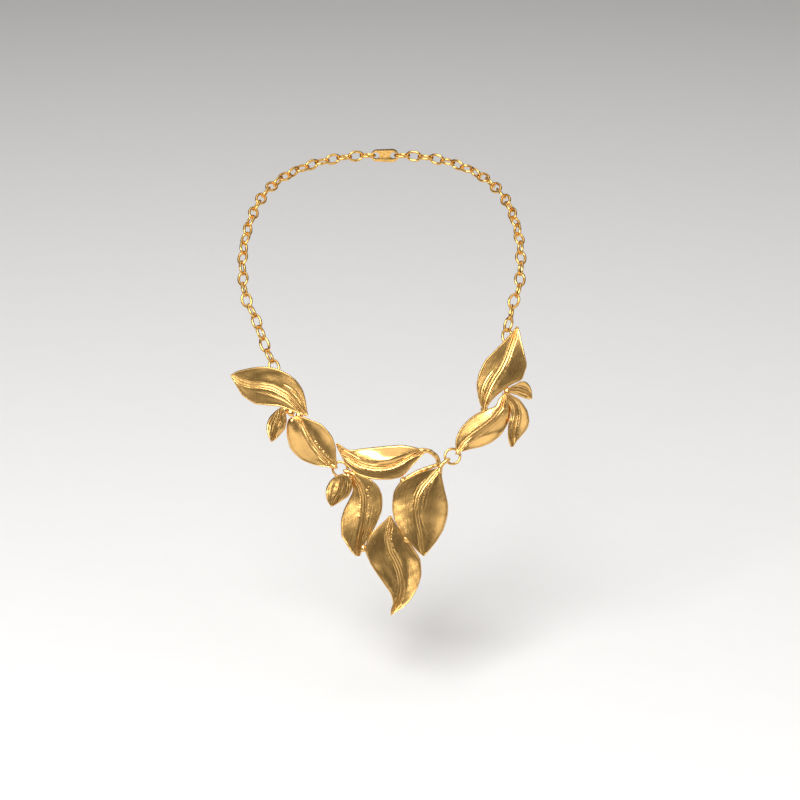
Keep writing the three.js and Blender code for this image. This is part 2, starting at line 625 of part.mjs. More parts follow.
const necklace = new THREE.Group();
necklace.add(
  casting(
    "centre_bib",
    [CREST_LEAF, SMALL_LEAF, ESS_LEAF, RIGHT_LEAF, BOTTOM_LEAF],
    [STEM, BAR, BIB_RIGHT_PEG, BIB_LEFT_PEG],
    BIB_SOLDER,
    [rightRing.staples[0], leftRing.staples[1]],
  ),
  casting(
    "left_leaf_link",
    [LEFT_LARGE_LEAF, LEFT_SMALL_LEAF, LEFT_LOWER_LEAF],
    [LEFT_LINK_PEG],
    LEFT_SOLDER,
    [leftRing.staples[0], chainStaple(LEFT_CHAIN, leftStart)],
  ),
  casting(
    "right_leaf_link",
    [RIGHT_LARGE_LEAF, RIGHT_TOP_LEAF, RIGHT_SIDE_LEAF, RIGHT_LOWER_LEAF],
    [RIGHT_LINK_PEG],
    RIGHT_SOLDER,
    [rightRing.staples[1], chainStaple(RIGHT_CHAIN, rightStart)],
  ),
  toMesh("left_jump_ring", toSolid(leftRing.ring), CHAIN_GOLD),
  toMesh("right_jump_ring", toSolid(rightRing.ring), CHAIN_GOLD),
  toMesh("left_chain", chainSolid(LEFT_CHAIN, leftStart, leftEnd), CHAIN_GOLD),
  toMesh("right_chain", chainSolid(RIGHT_CHAIN, rightStart, rightEnd), CHAIN_GOLD),
  toMesh("clasp", claspSolid(), CHAIN_GOLD),
);

export default necklace;
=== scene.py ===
"""Looks of a gold-plated bib necklace: cast leaves in three castings, jump rings and cable chain.

Leaf shapes are worked out in chest coordinates in millimetres: x to the wearer's left, u up along
the chest, w out of the chest. They become metres in the part's frame when a mesh is made.
"""

import math

import bmesh
import bpy
import numpy as np
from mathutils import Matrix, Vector


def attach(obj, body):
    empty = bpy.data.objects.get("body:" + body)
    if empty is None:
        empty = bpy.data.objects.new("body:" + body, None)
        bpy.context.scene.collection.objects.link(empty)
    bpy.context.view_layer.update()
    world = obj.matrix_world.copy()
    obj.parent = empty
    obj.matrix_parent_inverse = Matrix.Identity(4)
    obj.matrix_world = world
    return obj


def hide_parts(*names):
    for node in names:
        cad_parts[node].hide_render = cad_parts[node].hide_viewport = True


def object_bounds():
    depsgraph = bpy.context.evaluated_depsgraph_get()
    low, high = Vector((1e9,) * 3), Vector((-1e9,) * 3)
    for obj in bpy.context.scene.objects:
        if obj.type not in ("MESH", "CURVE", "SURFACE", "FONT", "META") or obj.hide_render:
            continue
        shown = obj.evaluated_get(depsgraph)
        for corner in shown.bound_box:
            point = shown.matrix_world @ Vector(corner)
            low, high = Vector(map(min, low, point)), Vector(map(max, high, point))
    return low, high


bl_info = {
    "name": "Leaf bib necklace",
    "version": (1, 0, 0),
    "blender": (4, 5, 0),
    "location": "3D View > Sidebar > Necklace",
    "description": "Builds a gold-plated bib necklace of cast leaves on a cable chain",
    "category": "Object",
}

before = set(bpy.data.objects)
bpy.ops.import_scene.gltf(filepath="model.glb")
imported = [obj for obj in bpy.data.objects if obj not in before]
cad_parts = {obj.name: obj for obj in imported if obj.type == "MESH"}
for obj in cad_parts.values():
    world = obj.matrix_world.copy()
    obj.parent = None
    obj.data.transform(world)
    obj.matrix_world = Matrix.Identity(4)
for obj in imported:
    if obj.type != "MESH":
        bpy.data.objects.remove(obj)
CAD_BOX = [list(corner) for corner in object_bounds()]

MM = 0.001
CHEST_LEAN = math.radians(20)
CHEST_FRONT = 44.0
CHEST_RADIUS = 220.0
COLLARBONE_U = -75.0
COLLARBONE_FALL = 0.004
CHEST_UP = np.array([0, math.sin(CHEST_LEAN), math.cos(CHEST_LEAN)])
CHEST_OUT = np.array([0, -math.cos(CHEST_LEAN), math.sin(CHEST_LEAN)])
FLOOR_REACH = 6.0  # metres to each side
LEAF_THICKNESS = 1.3
RIM_ROUNDING = 0.5
FULL_LEAF = 18  # width from which the midrib has its full size
RIB_OFFSET = 0.74  # of each midrib ridge from the middle
GROOVE_OFFSET = 1.22  # of each groove beside the midrib
LINE_WIDTH = 0.24  # of ridges and veins
VEIN_SHADE = 0.5  # distance of a vein's own grooves from it
BEAD_PITCH = 1.25
BEAD_HEIGHT = 0.16
BEAD_WIDTH = 0.32
RIM_BEAD_IN = 0.45  # of the rim's bead from the edge
HOLLOW_HALF = 8  # width of the half that the hollows are given for

# Leaves. The chord runs from base for length, turned from x. rise, slope and bulge set the height
# over the chest, at the base, middle and tip; slope and bulge are the right half's, then the left's.
# A row is a section square to the chord. Its columns are at, right, rib, left: its share of the
# chord, then the side distances of its right rim, its midrib and its left rim.
LEAVES = {
    "crest_leaf": dict(
        base=(-23.0, -109.6), turn=-5.4, length=43.3, rise=(5.4, 6.6, 6.3),
        bulge=((0.02, 0.04, 0.05), (-0.07, 0.17, 0.14)),
        slope=((-0.1, -0.07, -0.11), (0.21, -0.16, -0.05)),
        rows=((0, -0.5, -0.4, 0.2), (0.03, -3.0, -1.9, 0.1), (0.08, -6.3, -4.1, -1.1),
              (0.16, -10.8, -5.6, -2.4), (0.3, -14.4, -8.4, -1.1), (0.45, -15.4, -9.3, 0.2),
              (0.6, -15.0, -8.4, 1.5), (0.75, -13.1, -5.2, 2.3), (0.88, -6.5, -1.4, 1.8),
              (0.96, -2.2, -0.4, 1.0), (1, -0.2, 0.0, 0.6))),
    "small_leaf": dict(
        base=(-20.0, -123.6), turn=-106.7, length=17.1, rise=(6.0, 6.0, 5.0),
        bulge=((-0.03, 0.0, 0.01), (0.02, -0.02, 0.27)),
        slope=((-0.24, -0.21, 0.01), (0.24, 0.16, -0.32)),
        rows=((0, 1.1, 1.2, 1.8), (0.03, 0.1, 0.6, 3.4), (0.1, -1.7, 0.4, 5.1),
              (0.22, -3.5, 0.9, 6.3), (0.38, -4.8, 1.2, 6.8), (0.55, -5.2, 1.2, 6.3),
              (0.72, -4.5, 0.8, 4.3), (0.87, -3.1, 0.4, 2.2), (1, -0.7, -0.1, -0.0))),
    "ess_leaf": dict(
        base=(-14.8, -123.8), turn=-86.5, length=39.8, rise=(5.0, 5.8, 5.0),
        bulge=((-0.01, 0.05, 0.1), (0.02, -0.06, 0.04)),
        slope=((-0.24, -0.19, -0.07), (0.19, 0.12, -0.13)),
        rows=((0, -1.4, -0.5, 1.7), (0.04, -1.4, 0.3, 4.6), (0.1, -1.1, 1.9, 8.9),
              (0.2, -0.7, 3.7, 12.2), (0.32, -2.9, 4.5, 13.4), (0.45, -5.8, 4.0, 12.9),
              (0.58, -7.3, 3.1, 10.8), (0.72, -7.5, 1.6, 7.6), (0.85, -5.3, 0.3, 4.1),
              (0.94, -3.2, 0.0, 2.1), (1, -1.0, 0.0, 1.0))),
    "right_leaf": dict(
        base=(27.5, -120.3), turn=-101.5, length=44.0, rise=(5.6, 6.2, 5.2),
        bulge=((0.05, 0.0, 0.05), (-0.03, 0.02, 0.05)),
        slope=((0.21, -0.16, 0.11), (-0.17, -0.2, -0.13)),
        rows=((0, 0.3, 0.4, 1.0), (0.03, -1.7, -0.7, 0.9), (0.1, -8.6, -2.5, 1.3),
              (0.18, -13.5, -4.4, 2.6), (0.28, -18.3, -6.7, 4.6), (0.4, -19.9, -7.8, 6.9),
              (0.52, -19.4, -7.6, 7.8), (0.65, -17.6, -5.8, 7.4), (0.78, -13.2, -3.2, 5.7),
              (0.9, -6.8, -1.4, 3.2), (0.97, -2.7, -0.4, 1.5), (1, -0.4, -0.1, 0.6))),
    "bottom_leaf": dict(
        base=(3.4, -144.1), turn=-90.0, length=47.6, rise=(4.4, 5.4, 4.6),
        bulge=((-0.12, 0.0, 0.03), (0.0, -0.1, -0.01)),
        slope=((0.46, 0.11, 0.13), (-0.11, 0.04, 0.14)),
        rows=((0, -0.8, -0.0, 0.1), (0.04, -2.6, -0.2, 1.1), (0.12, -6.8, -0.8, 3.4),
              (0.22, -10.8, -1.4, 7.1), (0.34, -12.3, -0.6, 11.3), (0.46, -10.4, 2.2, 14.2),
              (0.58, -7.0, 4.3, 14.6), (0.7, -3.0, 5.2, 13.2), (0.8, 0.0, 4.6, 10.9),
              (0.88, 0.8, 3.3, 8.1), (0.95, -0.1, 1.2, 4.1), (1, -0.3, 0.0, 0.4))),
    "left_large_leaf": dict(
        base=(-74.0, -77.0), turn=-27.1, length=42.2, rise=(5.0, 6.4, 5.4),
        bulge=((0.09, 0.04, 0.04), (0.0, 0.0, 0.02)),
        slope=((-0.2, -0.14, -0.19), (0.25, 0.06, -0.11)),
        rows=((0, -0.3, -0.1, 0.5), (0.04, -1.4, -0.2, 3.1), (0.12, -3.5, -0.5, 6.1),
              (0.24, -6.2, 0.3, 9.8), (0.38, -6.8, 2.9, 12.6), (0.52, -5.0, 4.4, 13.5),
              (0.66, -2.7, 4.3, 12.9), (0.8, -1.8, 2.7, 10.3), (0.9, -1.4, 1.2, 6.0),
              (0.96, -0.9, 0.3, 2.4), (1, -0.6, 0.0, 0.3))),
    "left_small_leaf": dict(
        base=(-49.3, -92.0), turn=-104.4, length=17.5, rise=(5.0, 5.4, 4.8),
        bulge=((0.01, 0.01, 0.19), (0.06, 0.05, -0.01)),
        slope=((-0.19, -0.17, 0.22), (0.24, -0.29, -0.44)),
        rows=((0, 0.5, 0.6, 1.2), (0.1, -1.5, 0.2, 2.6), (0.22, -3.0, 0.5, 3.6),
              (0.38, -4.4, 0.4, 4.4), (0.55, -4.8, -0.2, 4.4), (0.72, -4.2, -0.1, 3.2),
              (0.87, -2.7, 0.0, 1.8), (1, -0.8, -0.2, -0.1))),
    "left_lower_leaf": dict(
        base=(-42.7, -95.7), turn=-52.2, length=32.9, rise=(5.2, 6.2, 5.4),
        bulge=((0.34, 0.02, -0.01), (0.02, -0.01, -0.05)),
        slope=((-0.1, -0.53, 0.09), (0.25, 0.2, 0.08)),
        rows=((0, -4.0, -2.8, -2.6), (0.03, -5.6, -0.8, 0.1), (0.1, -7.8, -0.3, 2.4),
              (0.22, -10.4, -0.7, 4.9), (0.38, -12.1, -1.7, 7.5), (0.55, -11.3, -2.2, 7.9),
              (0.72, -8.4, -1.9, 6.3), (0.86, -4.5, -1.1, 3.3), (0.95, -1.7, -0.4, 1.4),
              (1, -0.1, 0.0, 0.6))),
    "right_large_leaf": dict(
        base=(64.2, -53.3), turn=-112.0, length=44.3, rise=(5.6, 6.4, 5.2),
        bulge=((0.08, 0.01, 0.03), (0.04, -0.01, 0.1)),
        slope=((0.09, -0.2, -0.22), (0.36, 0.01, -0.35)),
        rows=((0, -0.1, 0.1, 0.6), (0.04, -0.9, 0.2, 2.0), (0.12, -2.1, 0.4, 4.3),
              (0.24, -4.0, 0.7, 8.0), (0.38, -6.6, 0.9, 11.5), (0.5, -8.5, 0.5, 11.8),
              (0.62, -8.8, -0.6, 7.7), (0.74, -8.0, -1.2, 4.4), (0.86, -5.3, -1.1, 1.9),
              (0.95, -2.3, -0.4, 1.1), (1, 0.1, 0.2, 0.8))),
    "right_top_leaf": dict(
        base=(59.4, -83.4), turn=-19.3, length=12.9, rise=(5.4, 5.8, 5.2),
        bulge=((0.21, -0.07, 0.04), (0.01, 0.01, -0.01)),
        slope=((-0.21, -0.26, -0.09), (-0.03, -0.16, -0.03)),
        rows=((0, -0.9, -0.3, -0.2), (0.03, -0.8, -0.2, 0.4), (0.1, -1.2, 0.1, 1.8),
              (0.22, -1.5, 0.8, 3.1), (0.38, -1.4, 1.6, 5.4), (0.55, -1.6, 1.7, 6.2),
              (0.72, -1.6, 1.6, 5.3), (0.87, -1.5, 0.7, 3.4), (1, -0.7, -0.1, -0.0))),
    "right_side_leaf": dict(
        base=(58.6, -85.5), turn=-83.4, length=26.0, rise=(5.4, 5.8, 5.0),
        bulge=((0.01, 0.02, 0.16), (0.0, -0.01, 0.23)),
        slope=((-0.06, 0.02, -0.3), (0.03, -0.05, 0.02)),
        rows=((0, 0.2, 0.3, 0.9), (0.05, -1.9, 0.3, 2.9), (0.14, -0.3, 2.1, 6.1),
              (0.26, 1.0, 4.0, 8.1), (0.4, 1.3, 4.3, 9.6), (0.54, -0.2, 3.5, 9.9),
              (0.68, -1.1, 2.3, 8.7), (0.82, -1.5, 1.2, 5.3), (0.93, -1.2, 0.4, 2.2),
              (1, -0.8, 0.1, 0.8))),
    "right_lower_leaf": dict(
        base=(58.2, -85.4), turn=-129.3, length=36.6, rise=(5.4, 6.4, 5.5),
        bulge=((0.19, 0.02, 0.02), (0.37, -0.14, 0.13)),
        slope=((-0.38, -0.3, -0.04), (-0.39, -0.3, 0.09)),
        rows=((0, -0.1, 0.3, 0.6), (0.03, -0.4, 0.7, 3.4), (0.1, -0.6, 2.0, 6.7),
              (0.2, 0.3, 3.7, 9.4), (0.32, -1.8, 3.7, 10.8), (0.45, -4.4, 3.0, 11.3),
              (0.58, -5.6, 1.8, 10.5), (0.72, -5.9, 0.5, 8.2), (0.86, -4.7, -0.1, 4.3),
              (0.95, -2.6, -0.0, 1.9), (1, -0.6, -0.0, 0.1))),
}

# Hollows and swellings worked into each face: heights in mm, for a half that is 8 mm wide, at
# 0.15, 0.38, 0.62 and 0.85 of the chord. Right half, then left; each has its whole width, then
# its part beside the midrib against its part beside the rim.
HOLLOW_AT = (0, 0.15, 0.38, 0.62, 0.85, 1)
HOLLOWS = {
    "crest_leaf": (((0.03, -0.11, -0.05, -0.09), (-0.06, 0, -0.01, 0.03)),
        ((-0.25, -0.53, 0.45, 0.13), (0.01, -0.08, 0.57, 0.27))),
    "small_leaf": (((-0.15, 0.01, 0.01, 0.14), (-0.12, -0.13, -0.12, 0.01)),
        ((-0.39, -0.11, 0.08, 0.08), (-0.03, -0.13, -0.3, -0.6))),
    "ess_leaf": (((-0.2, -0.32, -0.24, -0.42), (0.12, 0.06, 0.06, 0.13)),
        ((0.22, 0.24, 0.33, 0.08), (0.04, 0.04, 0.11, -0.1))),
    "right_leaf": (((0.07, -0.05, 0.01, 0.05), (0.05, 0.03, -0.04, -0.03)),
        ((0.34, 0.01, -0.17, -0.15), (-0.09, -0.03, -0.06, -0.05))),
    "bottom_leaf": (((0.3, -0.1, 0.3, 0.25), (0.04, -0.02, -0.14, -0.17)),
        ((0.3, -0.04, 0.03, 0.2), (-0.05, 0.03, -0.15, 0.01))),
    "left_large_leaf": (((-0.24, -0.26, -0.26, 0.05), (0.1, 0.01, 0.09, 0.15)),
        ((0.09, -0.08, 0.14, 0), (-0.01, 0.11, 0.02, 0.06))),
    "left_small_leaf": (((-0.15, -0.15, -0.04, -0.37), (0, 0.01, 0.03, 0.12)),
        ((-0.56, -0.1, 0.6, -0.03), (0.28, -0.16, -0.05, -0.01))),
    "left_lower_leaf": (((-0.57, -0.41, 0.05, 0.4), (-0.47, -0.19, -0.01, 0.02)),
        ((-0.24, -0.49, -0.33, 0.02), (0.02, -0.03, 0, -0.03))),
    "right_large_leaf": (((-0.07, -0.16, -0.06, -0.07), (0.18, -0.01, 0.01, -0.04)),
        ((-0.13, 0.12, -0.09, -0.15), (0, -0.03, -0.18, 0.09))),
    "right_top_leaf": (((-0.6, 0.17, 0.41, 0.14), (-0.03, -0.02, 0.01, -0.14)),
        ((-0.21, -0.11, 0.14, 0.34), (0.04, -0.04, 0.17, 0))),
    "right_side_leaf": (((0, 0.01, -0.21, -0.35), (0, 0, 0.01, -0.15)),
        ((0, 0.08, 0.02, -0.59), (-0.01, 0.03, 0.03, -0.15))),
    "right_lower_leaf": (((-0.08, -0.2, -0.09, -0.09), (-0.2, 0.03, 0.02, 0.02)),
        ((-0.3, 0.15, 0.15, -0.25), (-0.25, 0.05, -0.15, -0.05))),
}

# Raised veins: half (-1 right, 1 left), then start as share of the chord and of the half, then end.
VEINS = {
    "left_large_leaf": ((-1, 0.34, 0.34, 0.92, 0.6), (1, 0.58, 0.36, 0.95, 0.5)),
    "left_small_leaf": ((-1, 0.2, 0.34, 0.85, 0.4), (-1, 0.25, 0.62, 0.75, 0.68),
                        (1, 0.2, 0.4, 0.8, 0.4)),
    "crest_leaf": ((1, 0.08, 0.5, 0.3, 0.2), (-1, 0.06, 0.5, 0.34, 0.3)),
    "small_leaf": ((1, 0.12, 0.3, 0.8, 0.4), (1, 0.14, 0.5, 0.74, 0.62), (1, 0.2, 0.74, 0.6, 0.8),
                   (-1, 0.15, 0.6, 0.8, 0.5)),
    "ess_leaf": ((1, 0.42, 0.5, 0.85, 0.5), (1, 0.45, 0.66, 0.8, 0.66), (1, 0.48, 0.82, 0.76, 0.82),
                 (1, 0.5, 0.34, 0.9, 0.3)),
    "right_leaf": ((1, 0.16, 0.3, 0.5, 0.24), (-1, 0.12, 0.2, 0.4, 0.16)),
    "right_large_leaf": ((-1, 0.54, 0.32, 0.95, 0.6),),
    "right_side_leaf": ((1, 0.2, 0.26, 0.7, 0.22), (-1, 0.3, 0.5, 0.8, 0.45),
                        (-1, 0.25, 0.75, 0.6, 0.7)),
    "right_lower_leaf": ((1, 0.3, 0.3, 0.75, 0.25),),
    "right_top_leaf": ((1, 0.2, 0.35, 0.85, 0.4), (-1, 0.2, 0.5, 0.8, 0.4)),
}

# Row of cast beads beside the midrib: half, start, end, distance from the rib in mm.
BEAD_ROWS = {
    "crest_leaf": (-1, 0.22, 0.8, 1.9),
    "ess_leaf": (1, 0.16, 0.32, 2.1),
    "right_leaf": (1, 0.14, 0.46, 2.0),
    "left_lower_leaf": (1, 0.45, 0.85, 1.8),
    "right_lower_leaf": (1, 0.2, 0.75, 1.8),
    "bottom_leaf": (1, 0.12, 0.4, 1.7),
    "right_large_leaf": (1, 0.3, 0.6, 1.8),
}

# Cast rods: radius, then x, u and height over the chest of points along each.
RODS = {
    "stem": (1.1, ((14.5, -112.8, 6.0), (20.6, -113.0, 6.4), (23.7, -114.6, 6.4), (25.8, -117.2, 6.2),
                   (25.9, -121.1, 5.8))),
    "bar": (0.95, ((10.1, -126.6, 5.4), (16.8, -122.9, 5.6), (25.6, -119.8, 5.8))),
    "bib_right_peg": (1.05, ((26.3, -124.0, 5.8), (27.6, -120.0, 5.8), (31.6, -116.8, 5.5))),
    "bib_left_peg": (0.95, ((-13.4, -124.9, 5.6), (-16.2, -123.4, 5.5), (-19.4, -122.6, 5.5))),
    "left_link_peg": (0.95, ((-27.0, -118.4, 5.6), (-24.6, -120.0, 5.5), (-22.4, -121.4, 5.5))),
    "right_link_peg": (0.95, ((38.9, -110.8, 5.6), (36.6, -112.9, 5.5), (34.7, -114.7, 5.5))),
}

# Castings: their leaves and rods, solder fillets as x, u and height over the chest, and solder
# beads as x, u, height and radius.
SOLDER_SIZE = (1.8, 1.8, 0.85)
CASTINGS = {
    "centre_bib": dict(
        leaves=("crest_leaf", "small_leaf", "ess_leaf", "right_leaf", "bottom_leaf"),
        rods=("stem", "bar", "bib_right_peg", "bib_left_peg"),
        solder=((-13.6, -125.6, 4.9), (-8.6, -126.8, 5.2), (9.4, -127.3, 5.2), (-9.6, -159.8, 5.3),
                (11.0, -155.4, 5.1), (-16.8, -125.6, 5.4)),
        beads=((-7.4, -130.4, 6.9, 0.4), (-7.9, -132.0, 7.0, 0.35), (9.0, -126.2, 6.4, 0.5),
               (11.6, -124.8, 6.3, 0.45), (-9.8, -158.6, 5.7, 0.4))),
    "left_leaf_link": dict(
        leaves=("left_large_leaf", "left_small_leaf", "left_lower_leaf"),
        rods=("left_link_peg",),
        solder=((-47.6, -93.6, 4.8), (-44.6, -94.9, 4.8), (-40.6, -96.2, 4.9)),
        beads=((-46.6, -95.0, 5.9, 0.5), (-43.4, -96.4, 6.0, 0.4))),
    "right_leaf_link": dict(
        leaves=("right_large_leaf", "right_top_leaf", "right_side_leaf", "right_lower_leaf"),
        rods=("right_link_peg",),
        solder=((59.4, -84.6, 4.9), (58.4, -87.4, 4.9), (48.2, -93.4, 4.5), (60.6, -90.2, 4.7)),
        beads=((58.6, -86.2, 6.1, 0.45), (60.4, -84.4, 5.8, 0.4), (57.0, -85.6, 5.9, 0.4))),
}

# Bails, rings and chain
STAPLE_RADIUS = 1.6
STAPLE_WIRE = 0.45
STAPLE_SINK = 0.9
STAPLE_SEAT = 0.12
RING_CROSSINGS = {  # two crossings of each ring: x, u, height of the peg, its radius, its casting
    "right_jump_ring": ((30.0, -118.0, 5.65, 1.05, "centre_bib"),
                        (35.8, -113.7, 5.5, 0.95, "right_leaf_link")),
    "left_jump_ring": ((-24.2, -120.5, 5.5, 0.95, "left_leaf_link"),
                       (-17.8, -123.4, 5.5, 0.95, "centre_bib")),
}
CHAIN_ABOVE_CHEST = 3.0
LINK_PITCH = 6.1
LINK_BITE = 0.24
LINK_HALF_WIDTH = 2.3  # to the middle of the wire
LINK_TRIM = 0.06  # that each end of a round link stays inside the faceted one
CLASP_HOLE_X = 4.4  # from its middle
CLASP_HOLE_RADIUS = 1.75
LINK_WIRE_RADIUS = 0.675
CLASP_PLAY = 0.32
CLASP_REACH = CLASP_HOLE_X + CLASP_HOLE_RADIUS - LINK_WIRE_RADIUS - CLASP_PLAY
CLASP_ROUNDING = 0.3
NAPE = np.array([0, 54.5, 18.0])
TILTED_LINKS = 6
CHAINS = {
    "left_chain": dict(
        leaf="left_large_leaf", casting="left_leaf_link", bail=(-51.4, -75.8), end=-CLASP_REACH,
        chest=((-55.4, -67.1), (-57.6, -61.8), (-59.6, -56.0), (-61.8, -50.2), (-64.3, -44.9),
               (-66.9, -39.4)),
        shoulder=((-69, -27, -12), (-66.5, -8, 0), (-60, 14, 9), (-48, 34, 14), (-30, 48, 17),
                  (-14, 53.5, 18)),
        twist=0, twisted=0, tilt=-18),
    "right_chain": dict(
        leaf="right_large_leaf", casting="right_leaf_link", bail=(59.0, -61.4), end=CLASP_REACH,
        chest=((59.9, -52.6), (61.3, -47.4), (62.3, -42.1), (64.8, -36.5)),
        shoulder=((66.5, -26, -9), (64.5, -8, 1), (58.5, 14, 9), (47, 34, 14), (30, 48, 17),
                  (14, 53.5, 18)),
        twist=30, twisted=3, tilt=0),
}


def chest_height(x, u):
    """w of the chest: a parabola from side to side, falling back above the collarbone."""
    above = np.maximum(0, u - COLLARBONE_U)
    return CHEST_FRONT - x * x / (2 * CHEST_RADIUS) - COLLARBONE_FALL * above * above


def from_chest(x, u, w):
    """Chest coordinates to the part's frame, in mm: x across, u along CHEST_UP, w along CHEST_OUT."""
    x, u, w = (np.asarray(value, float)[..., None] for value in (x, u, w))
    return x * np.array([1.0, 0, 0]) + u * CHEST_UP + w * CHEST_OUT


def column_at(ats, values, at):
    """Smooth curve through a column: cubic Hermite pieces whose slope is the harmonic mean of
    the two neighbours' slopes, or zero where they differ in sign, so that it never overshoots."""
    ats, values = np.asarray(ats, float), np.asarray(values, float)
    steps = np.diff(ats)
    rises = np.diff(values) / steps
    before, after = rises[:-1], rises[1:]
    same = before * after > 0
    mean = np.zeros(len(before))
    mean[same] = 2 * before[same] * after[same] / (before[same] + after[same])
    slopes = np.concatenate([rises[:1], mean, rises[-1:]])
    i = np.clip(np.searchsorted(ats, at, side="left") - 1, 0, len(ats) - 2)
    h = steps[i]
    t = (at - ats[i]) / h
    keep = (1 + 2 * t) * (1 - t) ** 2
    return (keep * values[i] + t * (1 - t) ** 2 * h * slopes[i]
            + (1 - keep) * values[i + 1] + t * t * (t - 1) * h * slopes[i + 1])


def stations(values, at):
    """A value given at the base, middle and tip of a leaf."""
    return column_at((0, 0.5, 1), values, at)


def leaf_rise(leaf, at, across, half_width):
    """Height of the leaf's middle surface over the chest: the midrib's height, plus a climb in
    proportion to the distance from the rib, plus a parabola that swells each half."""
    out = np.abs(across)
    slope = np.where(across < 0, stations(leaf["slope"][0], at), stations(leaf["slope"][1], at))
    bulge = np.where(across < 0, stations(leaf["bulge"][0], at), stations(leaf["bulge"][1], at))
    return stations(leaf["rise"], at) + half_width * (slope * out + bulge * 4 * out * (1 - out))


def rise_over(leaf, x, u):
    """leaf_rise at a place on the chest: its share along the chord and across the half are
    found by turning x, u into the chord's own direction."""
    turn = math.radians(leaf["turn"])
    dx, du = x - leaf["base"][0], u - leaf["base"][1]
    at = (dx * math.cos(turn) + du * math.sin(turn)) / leaf["length"]
    aside = du * math.cos(turn) - dx * math.sin(turn)
    table = np.array(leaf["rows"])
    right, rib, left = (column_at(table[:, 0], table[:, k], np.array([at]))[0] for k in (1, 2, 3))
    rim = right if aside < rib else left
    across = (aside - rib) / abs(rim - rib)
    return float(leaf_rise(leaf, np.array([at]), np.array([across]), abs(rim - rib))[0])


def bump(distance, width):
    """A round ridge: a bell curve of the distance from its line."""
    return np.exp(-((distance / width) ** 2))


def hollow_of(name, at, across, half_width):
    """Hollow or swelling of a leaf's face, in mm: across each half, a half-sine of its whole
    width plus a full sine, each times its own smooth curve along the leaf."""
    out = np.abs(across)
    whole, inner = (np.where(across < 0, *(column_at(HOLLOW_AT, (0, *half[k], 0), at)
                                           for half in HOLLOWS[name])) for k in (0, 1))
    return (whole * np.sin(np.pi * out) + inner * np.sin(2 * np.pi * out)) * half_width / HOLLOW_HALF


def relief_of(name, leaf, at, across, half_width, looks):
    """Cast relief on a leaf's face, in mm, and how deep each place lies in a groove, 0 to 1,
    which the plate uses as a mask of painted shade.
    The midrib is two bell-shaped ridges with a groove between them and one on each side. Veins
    are lower ridges on straight lines from share to share. A bead row is a ridge that is cut by
    a cosine along the leaf. The rim is a ridge just inside the edge."""
    along = at * leaf["length"]
    x = across * half_width
    ends = np.clip(at / 0.12, 0, 1) * np.clip((1 - at) / 0.1, 0, 1)
    widest = np.ptp(np.array(leaf["rows"])[:, 1:], axis=1).max()
    size = float(np.clip(widest / FULL_LEAF, 0.55, 1))
    spread = (0.45 + 0.55 * ends) * size
    ribs = bump(np.abs(x) - RIB_OFFSET * spread, LINE_WIDTH)
    grooves = bump(np.abs(x) - GROOVE_OFFSET * spread, 0.2) + 0.8 * bump(x, LINE_WIDTH * size)
    rib_height = looks.rib_height / MM * (0.5 + 0.5 * size)
    height = rib_height * (ribs * (0.35 + 0.65 * ends) - 0.6 * grooves * ends)
    # painted shade: the grooves of the midrib are marked for darkening in the plate's colour
    groove_shade = grooves * ends
    for half, a0, s0, a1, s1 in VEINS.get(name, ()):
        t = np.clip((at - a0) / (a1 - a0), 0, 1)
        off = (across - half * (s0 + (s1 - s0) * t)) * half_width
        fade = np.sin(np.pi * t) ** 0.6
        beside = bump(np.abs(off) - VEIN_SHADE, LINE_WIDTH)
        height = height + looks.vein_height / MM * (bump(off, LINE_WIDTH) - 0.45 * beside) * fade
        # painted shade: the ground beside each vein is marked for darkening
        groove_shade = groove_shade + 0.5 * beside * fade
    if name in BEAD_ROWS:
        half, a0, a1, off = BEAD_ROWS[name]
        on = np.clip((at - a0) / 0.04, 0, 1) * np.clip((a1 - at) / 0.04, 0, 1)
        beat = (np.cos(2 * np.pi * (along + 0.35 * np.sin(along)) / BEAD_PITCH)
                + 0.5 * np.sin(2.3 * along))
        height = height + BEAD_HEIGHT * bump(x - half * off, BEAD_WIDTH) * np.clip(beat, 0, 1) * on
    rim = half_width - np.abs(x)
    rim_bead = bump(rim - RIM_BEAD_IN, 0.22) * np.clip(half_width / 2, 0, 1)
    height = height + looks.rim_height / MM * rim_bead
    # painted shade: a band 1.2 mm inside the rim is marked for darkening
    groove_shade = groove_shade + 0.35 * bump(rim - 1.2, 0.4) * np.clip((half_width - 2.5) / 2, 0, 1)
    sway = (np.sin(0.9 * x + 0.35 * along) + np.sin(0.55 * along - 0.4 * x + 1.3)
            + 0.7 * np.sin(1.7 * along + 1.1 * x)) / 2.7
    return height + looks.hand_finish / MM * sway * ends, np.clip(groove_shade, 0, 1)


